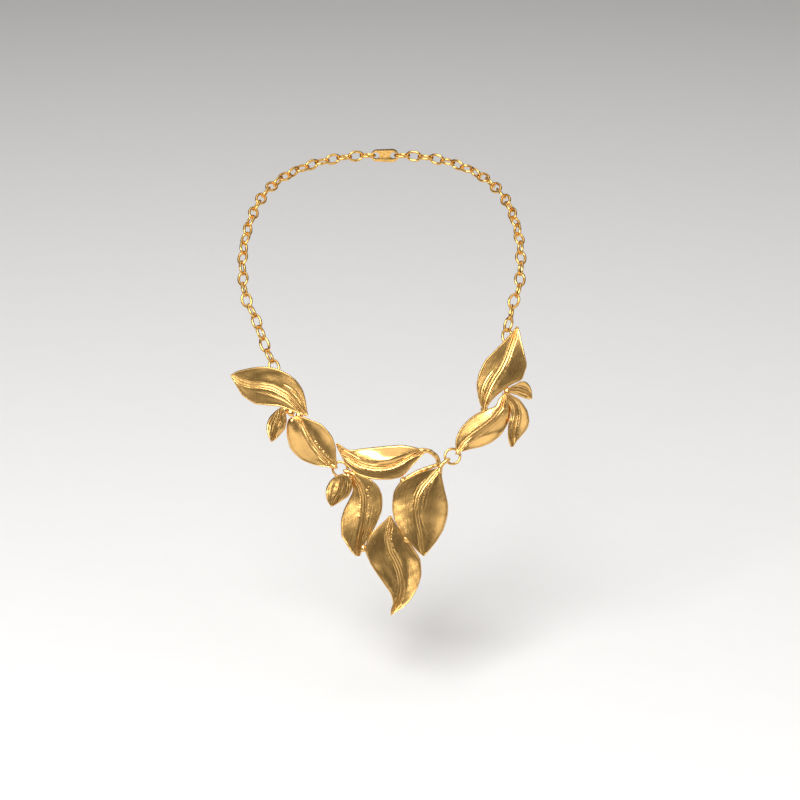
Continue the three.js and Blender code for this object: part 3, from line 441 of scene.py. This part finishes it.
def leaf_skin(name, looks, rows=150, top=84, back=14):
    """Closed skin of one leaf as a grid: at runs along the chord, crowded towards both ends, and
    the second parameter runs across the face from rim to rim and back behind. Height is the
    middle surface, plus half the thickness shrunk by a quarter circle at the rim, plus relief."""
    leaf = LEAVES[name]
    table = np.array(leaf["rows"])
    t = np.linspace(0, 1, rows)
    at = (0.4 * t + 0.3 * (1 - np.cos(np.pi * t)))[:, None]
    s = np.linspace(-1, 1, top)
    face = np.sin(np.pi / 2 * s) * 0.35 + s * 0.65
    behind = np.linspace(1, -1, back + 2)[1:-1]
    across = np.concatenate([face, behind])[None, :]
    side = np.concatenate([np.ones(top), -np.ones(back)])[None, :]
    at, across, side = np.broadcast_arrays(at, across, side)
    right, rib, left = (column_at(table[:, 0], table[:, k], at) for k in (1, 2, 3))
    half_width = np.where(across < 0, rib - right, left - rib)
    aside = rib + across * half_width
    turn = math.radians(leaf["turn"])
    along = at * leaf["length"]
    x = leaf["base"][0] + along * math.cos(turn) - aside * math.sin(turn)
    u = leaf["base"][1] + along * math.sin(turn) + aside * math.cos(turn)
    rim = (1 - np.abs(across)) * half_width
    inside = 1 - np.clip(rim / RIM_ROUNDING, 0, 1)
    thick = LEAF_THICKNESS / 2 * np.sqrt(1 - inside ** 2)
    relief, groove_shade = relief_of(name, leaf, at, across, half_width, looks)
    relief = relief + hollow_of(name, at, across, half_width)
    on_face = (side > 0) * np.sqrt(1 - inside ** 2)
    w = chest_height(x, u) + leaf_rise(leaf, at, across, half_width) + side * thick + relief * on_face
    flow = np.stack([across * half_width, along, 0 * along], -1)
    # the painted shade mask is kept to the front face
    return dict(grid=from_chest(x, u, w), flow=flow, groove_shade=groove_shade * on_face,
                rib=np.abs(across) * half_width + 8 * (side < 0))


def skin_of(grid):
    """A plain skin with no leaf pattern: its flow is its own place."""
    shape = grid.shape[:2]
    return dict(grid=grid, flow=grid.copy(), groove_shade=np.zeros(shape), rib=np.full(shape, 8.0))


def smooth_path(points, count):
    """Uniform Catmull-Rom curve through points, as count points: each cubic piece leaves a
    point along the line between its two neighbours."""
    p = np.asarray(points, float)
    p = np.vstack([2 * p[0] - p[1], p, 2 * p[-1] - p[-2]])
    t = np.linspace(0, len(p) - 3 - 1e-9, count)
    i = t.astype(int)
    f = (t - i)[:, None]
    a, b, c, d = p[i], p[i + 1], p[i + 2], p[i + 3]
    return 0.5 * (2 * b + (c - a) * f + (2 * a - 5 * b + 4 * c - d) * f ** 2
                  + (3 * b - a - 3 * c + d) * f ** 3)


def rod_skin(name, rows=40, sides=20):
    """Round bar along its path: circles square to the path, whose radius falls to zero on a
    quarter circle at both ends, with a slight waist and swelling of the cast wax."""
    radius, points = RODS[name]
    table = np.array(points)
    line = from_chest(table[:, 0], table[:, 1], chest_height(table[:, 0], table[:, 1]) + table[:, 2])
    path = smooth_path(line, rows)
    along = np.gradient(path, axis=0)
    along /= np.linalg.norm(along, axis=1)[:, None]
    side = np.cross(CHEST_OUT[None, :], along)
    side /= np.linalg.norm(side, axis=1)[:, None]
    out = np.cross(along, side)
    far = np.concatenate([[0], np.cumsum(np.linalg.norm(np.diff(path, axis=0), axis=1))])
    edge = np.clip(np.minimum(far, far[-1] - far) / (0.7 * radius), 0, 1)
    size = radius * np.sqrt(np.clip(1 - (1 - edge) ** 2, 1e-4, 1)) * (1 + 0.05 * np.sin(1.9 * far))
    turn = np.linspace(0, 2 * np.pi, sides, endpoint=False)
    ring = np.cos(turn)[None, :, None] * side[:, None] - np.sin(turn)[None, :, None] * out[:, None]
    return skin_of(path[:, None] + size[:, None, None] * ring)


def lump_skin(x, u, rise, size, rows=14, sides=20):
    """Ellipsoid: latitude and longitude, stretched to size across the chest and out of it."""
    lat = np.linspace(0.02, np.pi - 0.02, rows)[:, None]
    lon = -np.linspace(0, 2 * np.pi, sides, endpoint=False)[None, :]
    w = chest_height(x, u) + rise
    wave = 1 + 0.06 * np.sin(3 * lon + x) * np.sin(lat)
    return skin_of(from_chest(x + size[0] * np.sin(lat) * np.cos(lon) * wave,
                              u + size[1] * np.sin(lat) * np.sin(lon) * wave,
                              w - size[2] * np.cos(lat) + 0 * lon))


def ring_skin(centre, axis, start, radius, wire, long=0, rows=48, sides=16):
    """Torus round axis: a circle of wire carried round an oval whose half length is radius plus
    long along start, and whose half width is radius."""
    start = start / np.linalg.norm(start)
    axis = axis / np.linalg.norm(axis)
    side = np.cross(axis, start)
    a = np.linspace(0, 2 * np.pi, rows, endpoint=False)[:, None]
    b = np.linspace(0, 2 * np.pi, sides, endpoint=False)[None, :]
    length = radius + long
    nx, ny = np.cos(a) / length, np.sin(a) / radius
    norm = np.hypot(nx, ny)
    px = length * np.cos(a) + wire * np.cos(b) * nx / norm
    py = radius * np.sin(a) + wire * np.cos(b) * ny / norm
    pz = wire * np.sin(b) + 0 * a
    made = skin_of(centre + px[..., None] * start + py[..., None] * side + pz[..., None] * axis)
    made["closed"] = True
    return made


def piece(name, node, skins, material):
    """Joins skins into one mesh: grid neighbours become quads, both ends of an open grid close
    on a pole, and the point values become attributes. It rides on the body and replaces node."""
    points, flows, groove_shades, ribs, quads, tris = [], [], [], [], [], []
    base = 0
    for skin in skins:
        rows, sides = skin["grid"].shape[:2]
        index = base + np.arange(rows * sides).reshape(rows, sides)
        beside = np.roll(index, -1, axis=1)
        closed = skin.get("closed", False)
        a, b = (index, beside) if closed else (index[:-1], beside[:-1])
        c, d = ((np.roll(beside, -1, axis=0), np.roll(index, -1, axis=0)) if closed
                else (beside[1:], index[1:]))
        quads.append(np.stack([d, c, b, a], -1).reshape(-1, 4))
        parts = {key: skin[key].reshape(rows * sides, -1) for key in ("grid", "flow", "groove_shade", "rib")}
        base += rows * sides
        if not closed:
            first, last = base, base + 1
            base += 2
            parts = {key: np.vstack([value, value[:sides].mean(0), value[-sides:].mean(0)])
                     for key, value in parts.items()}
            tris.append(np.stack([beside[0], index[0], np.full(sides, first)], -1))
            tris.append(np.stack([index[-1], beside[-1], np.full(sides, last)], -1))
        points.append(parts["grid"])
        flows.append(parts["flow"])
        groove_shades.append(parts["groove_shade"])
        ribs.append(parts["rib"])
    quads = np.vstack(quads)
    tris = np.vstack(tris) if tris else np.zeros((0, 3), int)
    mesh = bpy.data.meshes.new(name)
    mesh.vertices.add(base)
    mesh.vertices.foreach_set("co", (np.vstack(points) * MM).ravel().astype(np.float32))
    corners = np.concatenate([quads.ravel(), tris.ravel()]).astype(np.int32)
    sizes = np.concatenate([np.full(len(quads), 4), np.full(len(tris), 3)]).astype(np.int32)
    mesh.loops.add(len(corners))
    mesh.loops.foreach_set("vertex_index", corners)
    mesh.polygons.add(len(sizes))
    starts = np.concatenate([[0], np.cumsum(sizes)[:-1]]).astype(np.int32)
    mesh.polygons.foreach_set("loop_start", starts)
    mesh.polygons.foreach_set("use_smooth", np.ones(len(sizes), bool))
    for key, kind, values in (("flow", "FLOAT_VECTOR", flows), ("groove_shade", "FLOAT", groove_shades),
                              ("rib_distance", "FLOAT", ribs)):
        attribute = mesh.attributes.new(key, kind, "POINT")
        field = "vector" if kind == "FLOAT_VECTOR" else "value"
        attribute.data.foreach_set(field, np.vstack(values).ravel().astype(np.float32))
    mesh.update(calc_edges=True)
    mesh.validate()
    mesh.materials.append(material)
    made = bpy.data.objects.new(name, mesh)
    bpy.context.scene.collection.objects.link(made)
    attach(made, "root")
    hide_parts(node)
    return made


def hanging_point(x, u, rise, half_depth):
    """Middle of a wire that hangs in a bail under metal of that height and half depth."""
    back = float(chest_height(np.float64(x), np.float64(u))) + rise - half_depth
    return from_chest(x, u, back - STAPLE_SINK + STAPLE_SEAT)


def staple_skin(middle, through):
    """Bail: a small torus round the hanging wire, its upper half sunk in the metal above."""
    side = np.cross(CHEST_OUT, through)
    return ring_skin(middle - STAPLE_SEAT * CHEST_OUT, through, side, STAPLE_RADIUS, STAPLE_WIRE,
                     rows=28, sides=12)


def ring_places(name):
    """Centre, axis, first direction and radius of a jump ring from its two crossings."""
    places = [hanging_point(*crossing[:4]) for crossing in RING_CROSSINGS[name]]
    chord = places[1] - places[0]
    along = chord / np.linalg.norm(chord)
    side = np.cross(CHEST_OUT, along)
    side /= np.linalg.norm(side)
    centre = (places[0] + places[1]) / 2
    return places, side, centre, np.cross(along, side), along, np.linalg.norm(chord) / 2


def chain_ends(chain):
    """Where a chain's first link hangs in its leaf's bail, and the way that link's wire runs."""
    x, u = chain["bail"]
    start = hanging_point(x, u, rise_over(LEAVES[chain["leaf"]], x, u), LEAF_THICKNESS / 2)
    nx, nu = (np.float64(value) for value in chain["chest"][0])
    towards = from_chest(nx, nu, chest_height(nx, nu) + CHAIN_ABOVE_CHEST) - start
    return start, np.cross(CHEST_OUT, towards / np.linalg.norm(towards))


def route_of(chain, start):
    """Dense points along the chain: a centripetal Catmull-Rom curve, whose cubic pieces take
    their end slopes from knot spacings that are square roots of the points' distances."""
    over = [from_chest(x, u, chest_height(np.float64(x), np.float64(u)) + CHAIN_ABOVE_CHEST)
            for x, u in chain["chest"]]
    end = NAPE + np.array([chain["end"], 0, 0])
    p = np.vstack([start, *over, np.array(chain["shoulder"], float), end])
    p = np.vstack([2 * p[0] - p[1], p, 2 * p[-1] - p[-2]])
    t = np.linspace(0, 1, 300, endpoint=False)[:, None]
    line = []
    for k in range(len(p) - 3):
        a, b, c, d = p[k:k + 4]
        g0, g1, g2 = (math.sqrt(np.linalg.norm(v)) for v in (b - a, c - b, d - c))
        m1 = ((b - a) / g0 - (c - a) / (g0 + g1) + (c - b) / g1) * g1
        m2 = ((c - b) / g1 - (d - b) / (g1 + g2) + (d - c) / g2) * g1
        line.append(b + m1 * t + (3 * (c - b) - 2 * m1 - m2) * t ** 2
                    + (m1 + m2 - 2 * (c - b)) * t ** 3)
    return np.vstack([*line, end[None, :]])


def link_skins(chain, looks):
    """Interlocked oval links at even steps along the route, each a quarter turn from the last.
    The way out of the chest is carried along the route square to it, and what is left of its
    turn at the nape is shared out over the links after the first few."""
    start, _ = chain_ends(chain)
    line = route_of(chain, start)
    far = np.concatenate([[0], np.cumsum(np.linalg.norm(np.diff(line, axis=0), axis=1))])
    length = far[-1]
    count = int(round(length / LINK_PITCH))
    count += (count % 2) != (chain["twisted"] % 2)
    nest = 2 * looks.chain_wire / MM / 2 - LINK_BITE
    half = (length + (count - 1) * nest) / (2 * count)
    where = half + np.arange(count) * (2 * half - nest)
    centres = np.stack([np.interp(where, far, line[:, k]) for k in range(3)], -1)
    ahead = np.stack([np.interp(where + 0.05, far, line[:, k]) for k in range(3)], -1)
    behind = np.stack([np.interp(where - 0.05, far, line[:, k]) for k in range(3)], -1)
    along = (ahead - behind) / np.linalg.norm(ahead - behind, axis=1)[:, None]
    normals = [from_chest(chain["bail"][0] / CHEST_RADIUS, 0.0, 1.0)]
    for way in along:
        normal = normals[-1] - normals[-1].dot(way) * way
        normals.append(normal / np.linalg.norm(normal))
    normals = np.array(normals[1:])
    outwards = np.array([0, 1.0, 0]) - along[-1, 1] * along[-1]
    outwards /= np.linalg.norm(outwards)
    spare = math.atan2(np.cross(normals[-1], outwards).dot(along[-1]), normals[-1].dot(outwards))
    order = np.arange(count)
    t = np.clip((order - TILTED_LINKS) / (count - 1 - TILTED_LINKS), 0, 1)
    first = np.minimum(order, TILTED_LINKS)
    turn = (np.pi / 2 * order + math.radians(chain["twist"]) * np.minimum(order, chain["twisted"])
            + math.radians(chain["tilt"]) * np.sin(np.pi * first / TILTED_LINKS)
            + spare * t * t * (3 - 2 * t))
    face = (normals * np.cos(turn)[:, None] + np.cross(along, normals) * np.sin(turn)[:, None])
    wire = looks.chain_wire / MM / 2
    long = half - LINK_TRIM - LINK_HALF_WIDTH
    return [ring_skin(c, f, a, LINK_HALF_WIDTH, wire, long=long, rows=36, sides=12)
            for c, f, a in zip(centres, face, along)]


def linear(code):
    """An sRGB hex colour to linear red, green and blue."""
    parts = (int(code[k:k + 2], 16) / 255 for k in (1, 3, 5))
    return tuple(c / 12.92 if c <= 0.04045 else ((c + 0.055) / 1.055) ** 2.4 for c in parts)


class CastingLooks(bpy.types.PropertyGroup):
    """Sizes and colours of the cast leaves."""

    rib_height: bpy.props.FloatProperty(
        name="Rib height", description="Height of the two ridges of each midrib", default=0.0003,
        subtype="DISTANCE")
    vein_height: bpy.props.FloatProperty(
        name="Vein height", description="Height of the raised side veins", default=0.00013,
        subtype="DISTANCE")
    rim_height: bpy.props.FloatProperty(
        name="Rim height", description="Height of the bead round each leaf's edge", default=0.0001,
        subtype="DISTANCE")
    hand_finish: bpy.props.FloatProperty(
        name="Waviness", description="Swell of the hand-worked wax under the plate", default=2e-05,
        subtype="DISTANCE")
    raised: bpy.props.FloatVectorProperty(
        name="Raised gold", description="Colour of the plate on faces and rims",
        default=linear("#EFBE70"), subtype="COLOR")
    # sunk is painted shade: it darkens grooves, the ground beside veins and a band inside the rim,
    # where shade falls, and also serves a random mottle
    sunk: bpy.props.FloatVectorProperty(
        name="Sunk gold", description="Colour of the plate in grooves and pits",
        default=linear("#7A5524"), subtype="COLOR")
    satin: bpy.props.FloatProperty(
        name="Satin", description="Roughness of the brushed faces", default=0.24, min=0, max=1,
        subtype="FACTOR")


class ChainLooks(bpy.types.PropertyGroup):
    """Sizes and colours of the chains, jump rings, bails and clasp."""

    chain_wire: bpy.props.FloatProperty(
        name="Chain wire", description="Thickness of the links' wire", default=0.00135,
        subtype="DISTANCE")
    ring_wire: bpy.props.FloatProperty(
        name="Ring wire", description="Thickness of the jump rings' wire", default=0.00124,
        subtype="DISTANCE")
    gold: bpy.props.FloatVectorProperty(
        name="Chain gold", description="Colour of the polished plate", default=linear("#EDBE72"),
        subtype="COLOR")
    dull: bpy.props.FloatVectorProperty(
        name="Worn gold", description="Colour where links rub", default=linear("#C08E3C"),
        subtype="COLOR")
    polish: bpy.props.FloatProperty(
        name="Polish", description="Roughness of the drawn wire", default=0.2, min=0, max=1,
        subtype="FACTOR")


class StageLooks(bpy.types.PropertyGroup):
    """Floor and studio light."""

    floor: bpy.props.FloatVectorProperty(
        name="Floor", description="Colour of the floor", default=linear("#ECEBEA"), subtype="COLOR")
    floor_drop: bpy.props.FloatProperty(
        name="Floor drop", description="How far the floor lies under the necklace", default=0.045,
        subtype="DISTANCE")
    key: bpy.props.FloatProperty(
        name="Key light", description="Power of the soft light from the upper left", default=37,
        subtype="POWER")
    fill: bpy.props.FloatProperty(
        name="Fill light", description="Power of the soft light from the right", default=6,
        subtype="POWER")
    top: bpy.props.FloatProperty(
        name="Top light", description="Power of the soft light overhead", default=14,
        subtype="POWER")
    sky: bpy.props.FloatProperty(
        name="Room light", description="Strength of the even light from all round", default=0.1, min=0)


def add_node(tree, kind, settings=None, inputs=None):
    """Adds a node, sets its settings, and gives each named input a value or another's output."""
    node = tree.nodes.new(kind)
    for key, value in (settings or {}).items():
        setattr(node, key, value)
    for key, value in (inputs or {}).items():
        if isinstance(value, bpy.types.NodeSocket):
            tree.links.new(value, node.inputs[key])
        else:
            node.inputs[key].default_value = value
    return node


def new_material(name):
    """An empty node material with its output."""
    material = bpy.data.materials.get(name)
    if material:
        return material, None, None
    material = bpy.data.materials.new(name)
    material.use_nodes = True
    tree = material.node_tree
    tree.nodes.clear()
    return material, tree, tree.nodes.new("ShaderNodeOutputMaterial")


def per_metre(size_mm):
    """Noise scale for features of this size in mm, on coordinates in metres."""
    return 1 / (size_mm * MM)


def satin_gold_plate(looks):
    """Satin yellow gold plate over cast brass. The wax was worked with a knife, cast, tumbled
    and brushed, then flash plated: faces show short brush lines, pits and a soft mottle, and
    grooves are rougher. Painted shade: grooves, the ground beside the veins and a band inside
    the rim are darkened towards the sunk colour, where shade falls, while rims and ribs keep the
    raised colour. A clear lacquer keeps the plate from tarnish and whitens the highlights. Flow
    follows each leaf."""
    material, tree, output = new_material("satin_gold_plate_on_cast_brass")
    if tree is None:
        return material
    place = add_node(tree, "ShaderNodeTexCoord").outputs["Object"]
    flow, groove_shade, rib = (add_node(tree, "ShaderNodeAttribute", {"attribute_name": key}).outputs[field]
                         for key, field in (("flow", "Vector"), ("groove_shade", "Fac"),
                                            ("rib_distance", "Fac")))
    # brush lines: 0.5 mm apart, about 5 mm long; real ones are a tenth of that and can't show
    lines_at = add_node(tree, "ShaderNodeVectorMath", {"operation": "MULTIPLY"},
                        {0: flow, 1: (2.0, 0.2, 1.0)}).outputs["Vector"]
    lines = add_node(tree, "ShaderNodeTexNoise", None,
                     {"Vector": lines_at, "Scale": 1.0, "Detail": 3.0, "Roughness": 0.6}).outputs["Fac"]
    # wax mottle of 2.4 mm, tumbled grain of 0.7 mm, pits of 1.1 mm
    mottle = add_node(tree, "ShaderNodeTexNoise", None,
                      {"Vector": place, "Scale": per_metre(2.4), "Detail": 3.0,
                       "Roughness": 0.55}).outputs["Fac"]
    grain = add_node(tree, "ShaderNodeTexNoise", None,
                     {"Vector": place, "Scale": per_metre(0.7), "Detail": 2.0,
                      "Roughness": 0.6}).outputs["Fac"]
    cells = add_node(tree, "ShaderNodeTexVoronoi", {"feature": "SMOOTH_F1"},
                     {"Vector": place, "Scale": per_metre(1.1), "Smoothness": 0.6}).outputs["Distance"]
    # tool marks lie within 4 mm of the midrib
    near_rib = add_node(tree, "ShaderNodeMapRange", {"interpolation_type": "SMOOTHSTEP"},
                        {"Value": rib, "From Min": 1.2, "From Max": 4.5, "To Min": 1.0,
                         "To Max": 0.0}).outputs["Result"]
    patchy = add_node(tree, "ShaderNodeMapRange", None,
                      {"Value": mottle, "From Min": 0.4, "From Max": 0.65, "To Min": 0.2,
                       "To Max": 1.0}).outputs["Result"]
    off_rib = add_node(tree, "ShaderNodeMapRange", {"interpolation_type": "SMOOTHSTEP"},
                       {"Value": rib, "From Min": 1.0, "From Max": 1.8, "To Min": 0.0,
                        "To Max": 1.0}).outputs["Result"]
    patchy = add_node(tree, "ShaderNodeMath", {"operation": "MULTIPLY"},
                      {0: off_rib, 1: patchy}).outputs["Value"]
    marks = add_node(tree, "ShaderNodeMath", {"operation": "MULTIPLY"},
                     {0: near_rib, 1: patchy}).outputs["Value"]
    pits = add_node(tree, "ShaderNodeMath", {"operation": "MULTIPLY"},
                    {0: cells, 1: marks}).outputs["Value"]
    sunk = add_node(tree, "ShaderNodeMapRange", None,
                    {"Value": mottle, "From Min": 0.35, "From Max": 0.7, "To Min": 0.14,
                     "To Max": 0.0}).outputs["Result"]
    # painted shade: the groove mask darkens grooves, the ground beside veins and a band inside the rim
    # towards the sunk colour; the random mottle adds up to 0.14 more of it
    depth = add_node(tree, "ShaderNodeMath", {"operation": "MULTIPLY_ADD", "use_clamp": True},
                     {0: groove_shade, 1: 0.9, 2: sunk}).outputs["Value"]
    colour = add_node(tree, "ShaderNodeMix", {"data_type": "RGBA"},
                      {"Factor": depth, "A": (*looks.raised, 1), "B": (*looks.sunk, 1)})
    rough = add_node(tree, "ShaderNodeMapRange", None,
                     {"Value": lines, "From Min": 0.3, "From Max": 0.7, "To Min": looks.satin - 0.03,
                      "To Max": looks.satin + 0.04}).outputs["Result"]
    rough = add_node(tree, "ShaderNodeMath", {"operation": "MULTIPLY_ADD", "use_clamp": True},
                     {0: groove_shade, 1: 0.12, 2: rough}).outputs["Value"]
    under = {}
    for height, depth_mm in ((mottle, 0.01), (pits, 0.06), (lines, 0.003), (grain, 0.004)):
        lumps = add_node(tree, "ShaderNodeBump", None,
                         {"Height": height, "Strength": 1.0, "Distance": depth_mm * MM, **under})
        under = {"Normal": lumps.outputs["Normal"]}
    metal = add_node(tree, "ShaderNodeBsdfPrincipled", None,
                     {"Metallic": 1.0, "Base Color": colour.outputs["Result"], "Roughness": rough,
                      **under, "Coat Weight": 0.45, "Coat Roughness": 0.2})
    tree.links.new(metal.outputs["BSDF"], output.inputs["Surface"])
    return material


def polished_gold_wire(looks):
    """Polished yellow gold plate over drawn brass wire: smooth and mirror-like, with fine
    tumbling scratches and a duller, browner film where it was not rubbed."""
    material, tree, output = new_material("polished_gold_plate_on_brass_wire")
    if tree is None:
        return material
    place = add_node(tree, "ShaderNodeTexCoord").outputs["Object"]
    # films of 1.8 mm; scratches of 0.4 mm, drawn coarser than real ones so that they show
    film = add_node(tree, "ShaderNodeTexNoise", None,
                    {"Vector": place, "Scale": per_metre(1.8), "Detail": 3.0}).outputs["Fac"]
    scratch = add_node(tree, "ShaderNodeTexNoise", None,
                       {"Vector": place, "Scale": per_metre(0.4), "Detail": 2.0}).outputs["Fac"]
    worn = add_node(tree, "ShaderNodeMapRange", None,
                    {"Value": film, "From Min": 0.35, "From Max": 0.75, "To Min": 0.0,
                     "To Max": 0.7}).outputs["Result"]
    colour = add_node(tree, "ShaderNodeMix", {"data_type": "RGBA"},
                      {"Factor": worn, "A": (*looks.gold, 1), "B": (*looks.dull, 1)})
    rough = add_node(tree, "ShaderNodeMapRange", None,
                     {"Value": film, "From Min": 0.3, "From Max": 0.7, "To Min": looks.polish - 0.04,
                      "To Max": looks.polish + 0.08}).outputs["Result"]
    skin = add_node(tree, "ShaderNodeBump", None,
                    {"Height": scratch, "Strength": 1.0, "Distance": 0.02 * MM}).outputs["Normal"]
    metal = add_node(tree, "ShaderNodeBsdfPrincipled", None,
                     {"Metallic": 1.0, "Base Color": colour.outputs["Result"], "Roughness": rough,
                      "Normal": skin})
    tree.links.new(metal.outputs["BSDF"], output.inputs["Surface"])
    return material


def matt_floor(looks):
    """Painted studio floor: matt emulsion, with a barely visible roller mottle of 12 mm."""
    material, tree, output = new_material("matt_pale_floor_paint")
    if tree is None:
        return material
    place = add_node(tree, "ShaderNodeTexCoord").outputs["Object"]
    mottle = add_node(tree, "ShaderNodeTexNoise", None,
                      {"Vector": place, "Scale": per_metre(12), "Detail": 2.0}).outputs["Fac"]
    darker = tuple(c * 0.98 for c in looks.floor)
    colour = add_node(tree, "ShaderNodeMix", {"data_type": "RGBA"},
                      {"Factor": mottle, "A": (*looks.floor, 1), "B": (*darker, 1)})
    paint = add_node(tree, "ShaderNodeBsdfPrincipled", None,
                     {"Base Color": colour.outputs["Result"], "Roughness": 0.9})
    tree.links.new(paint.outputs["BSDF"], output.inputs["Surface"])
    return material


def casting(name, context):
    """One casting: its leaves, rods, solder, beads and bails as one mesh."""
    looks = context.scene.necklace_castings
    table = CASTINGS[name]
    skins = [leaf_skin(leaf, looks) for leaf in table["leaves"]]
    skins += [rod_skin(rod) for rod in table["rods"]]
    skins += [lump_skin(*place, SOLDER_SIZE) for place in table["solder"]]
    skins += [lump_skin(x, u, rise, (size, size, size), 10, 12) for x, u, rise, size in table["beads"]]
    for ring, crossings in RING_CROSSINGS.items():
        places, axis = ring_places(ring)[:2]
        skins += [staple_skin(place, axis) for place, crossing in zip(places, crossings)
                  if crossing[4] == name]
    for chain in CHAINS.values():
        if chain["casting"] == name:
            skins.append(staple_skin(*chain_ends(chain)))
    return piece("cast_" + name, name, skins, satin_gold_plate(looks))


class NECKLACE_OT_centre_bib(bpy.types.Operator):
    """Build the centre bib: crest, small, ess, right and bottom leaves on their stem and bar"""

    bl_idname = "necklace.centre_bib"
    bl_label = "Centre bib"

    def execute(self, context):
        casting("centre_bib", context)
        return {"FINISHED"}


class NECKLACE_OT_leaf_links(bpy.types.Operator):
    """Build the two leaf links at the sides of the bib"""

    bl_idname = "necklace.leaf_links"
    bl_label = "Leaf links"

    def execute(self, context):
        casting("left_leaf_link", context)
        casting("right_leaf_link", context)
        return {"FINISHED"}


class NECKLACE_OT_jump_rings(bpy.types.Operator):
    """Build the two jump rings between the bib and the leaf links"""

    bl_idname = "necklace.jump_rings"
    bl_label = "Jump rings"

    def execute(self, context):
        looks = context.scene.necklace_chains
        for name in RING_CROSSINGS:
            _, _, centre, axis, start, radius = ring_places(name)
            ring = ring_skin(centre, axis, start, radius, looks.ring_wire / MM / 2)
            piece("wire_" + name, name, [ring], polished_gold_wire(looks))
        return {"FINISHED"}


class NECKLACE_OT_chains(bpy.types.Operator):
    """Build both cable chains link by link along the neck"""

    bl_idname = "necklace.chains"
    bl_label = "Chains"

    def execute(self, context):
        looks = context.scene.necklace_chains
        for name, chain in CHAINS.items():
            piece("cable_" + name, name, link_skins(chain, looks), polished_gold_wire(looks))
        return {"FINISHED"}


class NECKLACE_OT_clasp(bpy.types.Operator):
    """Build the clasp: a merged copy of the plain plate at the nape with its edges rounded"""

    bl_idname = "necklace.clasp"
    bl_label = "Clasp"

    def execute(self, context):
        looks = context.scene.necklace_chains
        source = bpy.data.objects["clasp"]
        mesh = source.data.copy()
        work = bmesh.new()
        work.from_mesh(mesh)
        bmesh.ops.remove_doubles(work, verts=work.verts, dist=0.01 * MM)
        work.to_mesh(mesh)
        work.free()
        mesh.materials.clear()
        mesh.materials.append(polished_gold_wire(looks))
        plate = bpy.data.objects.new("polished_clasp", mesh)
        context.scene.collection.objects.link(plate)
        rounding = plate.modifiers.new("rounded_edges", "BEVEL")
        rounding.width = CLASP_ROUNDING * MM
        rounding.segments = 3
        rounding.angle_limit = math.radians(40)
        for face in mesh.polygons:
            face.use_smooth = True
        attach(plate, "root")
        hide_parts("clasp")
        return {"FINISHED"}


class NECKLACE_OT_stage(bpy.types.Operator):
    """Build the pale floor, the soft studio lights and the camera"""

    bl_idname = "necklace.stage"
    bl_label = "Stage"

    def execute(self, context):
        looks = context.scene.necklace_stage
        scene = context.scene
        height = CAD_BOX[0][2] - looks.floor_drop
        reach = FLOOR_REACH
        mesh = bpy.data.meshes.new("floor")
        mesh.from_pydata([(-reach, -reach, height), (reach, -reach, height), (reach, reach, height),
                          (-reach, reach, height)], [], [(0, 1, 2, 3)])
        mesh.materials.append(matt_floor(looks))
        floor = bpy.data.objects.new("floor", mesh)
        scene.collection.objects.link(floor)

        scene.view_settings.view_transform = "Standard"
        world = bpy.data.worlds.new("studio")
        scene.world = world
        world.use_nodes = True
        background = world.node_tree.nodes["Background"]
        background.inputs["Color"].default_value = (1.0, 0.94, 0.86, 1)
        background.inputs["Strength"].default_value = looks.sky

        middle = Vector(((CAD_BOX[0][0] + CAD_BOX[1][0]) / 2, -0.08, -0.08))
        for name, power, size, place in (
                ("key_light", looks.key, 1.1, (-0.5, -1.2, 1.15)),
                ("fill_light", looks.fill, 1.2, (1.31, -0.98, 0.69)),
                ("top_light", looks.top, 2.0, (0.0, 0.3, 1.5))):
            data = bpy.data.lights.new(name, "AREA")
            data.energy = power
            data.size = size
            lamp = bpy.data.objects.new(name, data)
            lamp.location = place
            lamp.rotation_euler = (middle - Vector(place)).to_track_quat("-Z", "Y").to_euler()
            scene.collection.objects.link(lamp)

        data = bpy.data.cameras.new("camera")
        data.sensor_width = 36
        data.lens = 140.625
        data.clip_start = 0.05
        camera = bpy.data.objects.new("camera", data)
        camera.location = (0.0077, -1.48126, 0.44464)
        camera.rotation_euler = (math.pi / 2 - CHEST_LEAN, 0, 0)
        scene.collection.objects.link(camera)
        scene.camera = camera
        return {"FINISHED"}


class NECKLACE_PT_panel(bpy.types.Panel):
    """Lists the necklace's pieces and their sizes and colours"""

    bl_idname = "NECKLACE_PT_panel"
    bl_label = "Necklace"
    bl_space_type = "VIEW_3D"
    bl_region_type = "UI"
    bl_category = "Necklace"

    def draw(self, context):
        column = self.layout.column()
        for step in STEPS:
            column.operator(step.bl_idname)
        for group in GROUPS:
            for key in GROUPS[group].__annotations__:
                column.prop(getattr(context.scene, group), key)


GROUPS = {"necklace_castings": CastingLooks, "necklace_chains": ChainLooks,
          "necklace_stage": StageLooks}
STEPS = (NECKLACE_OT_centre_bib, NECKLACE_OT_leaf_links, NECKLACE_OT_jump_rings, NECKLACE_OT_chains,
         NECKLACE_OT_clasp, NECKLACE_OT_stage)
CLASSES = (*GROUPS.values(), *STEPS, NECKLACE_PT_panel)


def register():
    """Registers every class and hangs the groups of looks on the scene."""
    for made in CLASSES:
        bpy.utils.register_class(made)
    for name, group in GROUPS.items():
        setattr(bpy.types.Scene, name, bpy.props.PointerProperty(type=group))


def unregister():
    """Takes the groups and classes out again."""
    for name in GROUPS:
        delattr(bpy.types.Scene, name)
    for made in reversed(CLASSES):
        bpy.utils.unregister_class(made)


def main():
    """Builds every piece in order."""
    register()
    bpy.ops.necklace.centre_bib()
    bpy.ops.necklace.leaf_links()
    bpy.ops.necklace.jump_rings()
    bpy.ops.necklace.chains()
    bpy.ops.necklace.clasp()
    bpy.ops.necklace.stage()


if __name__ == "__main__":
    main()
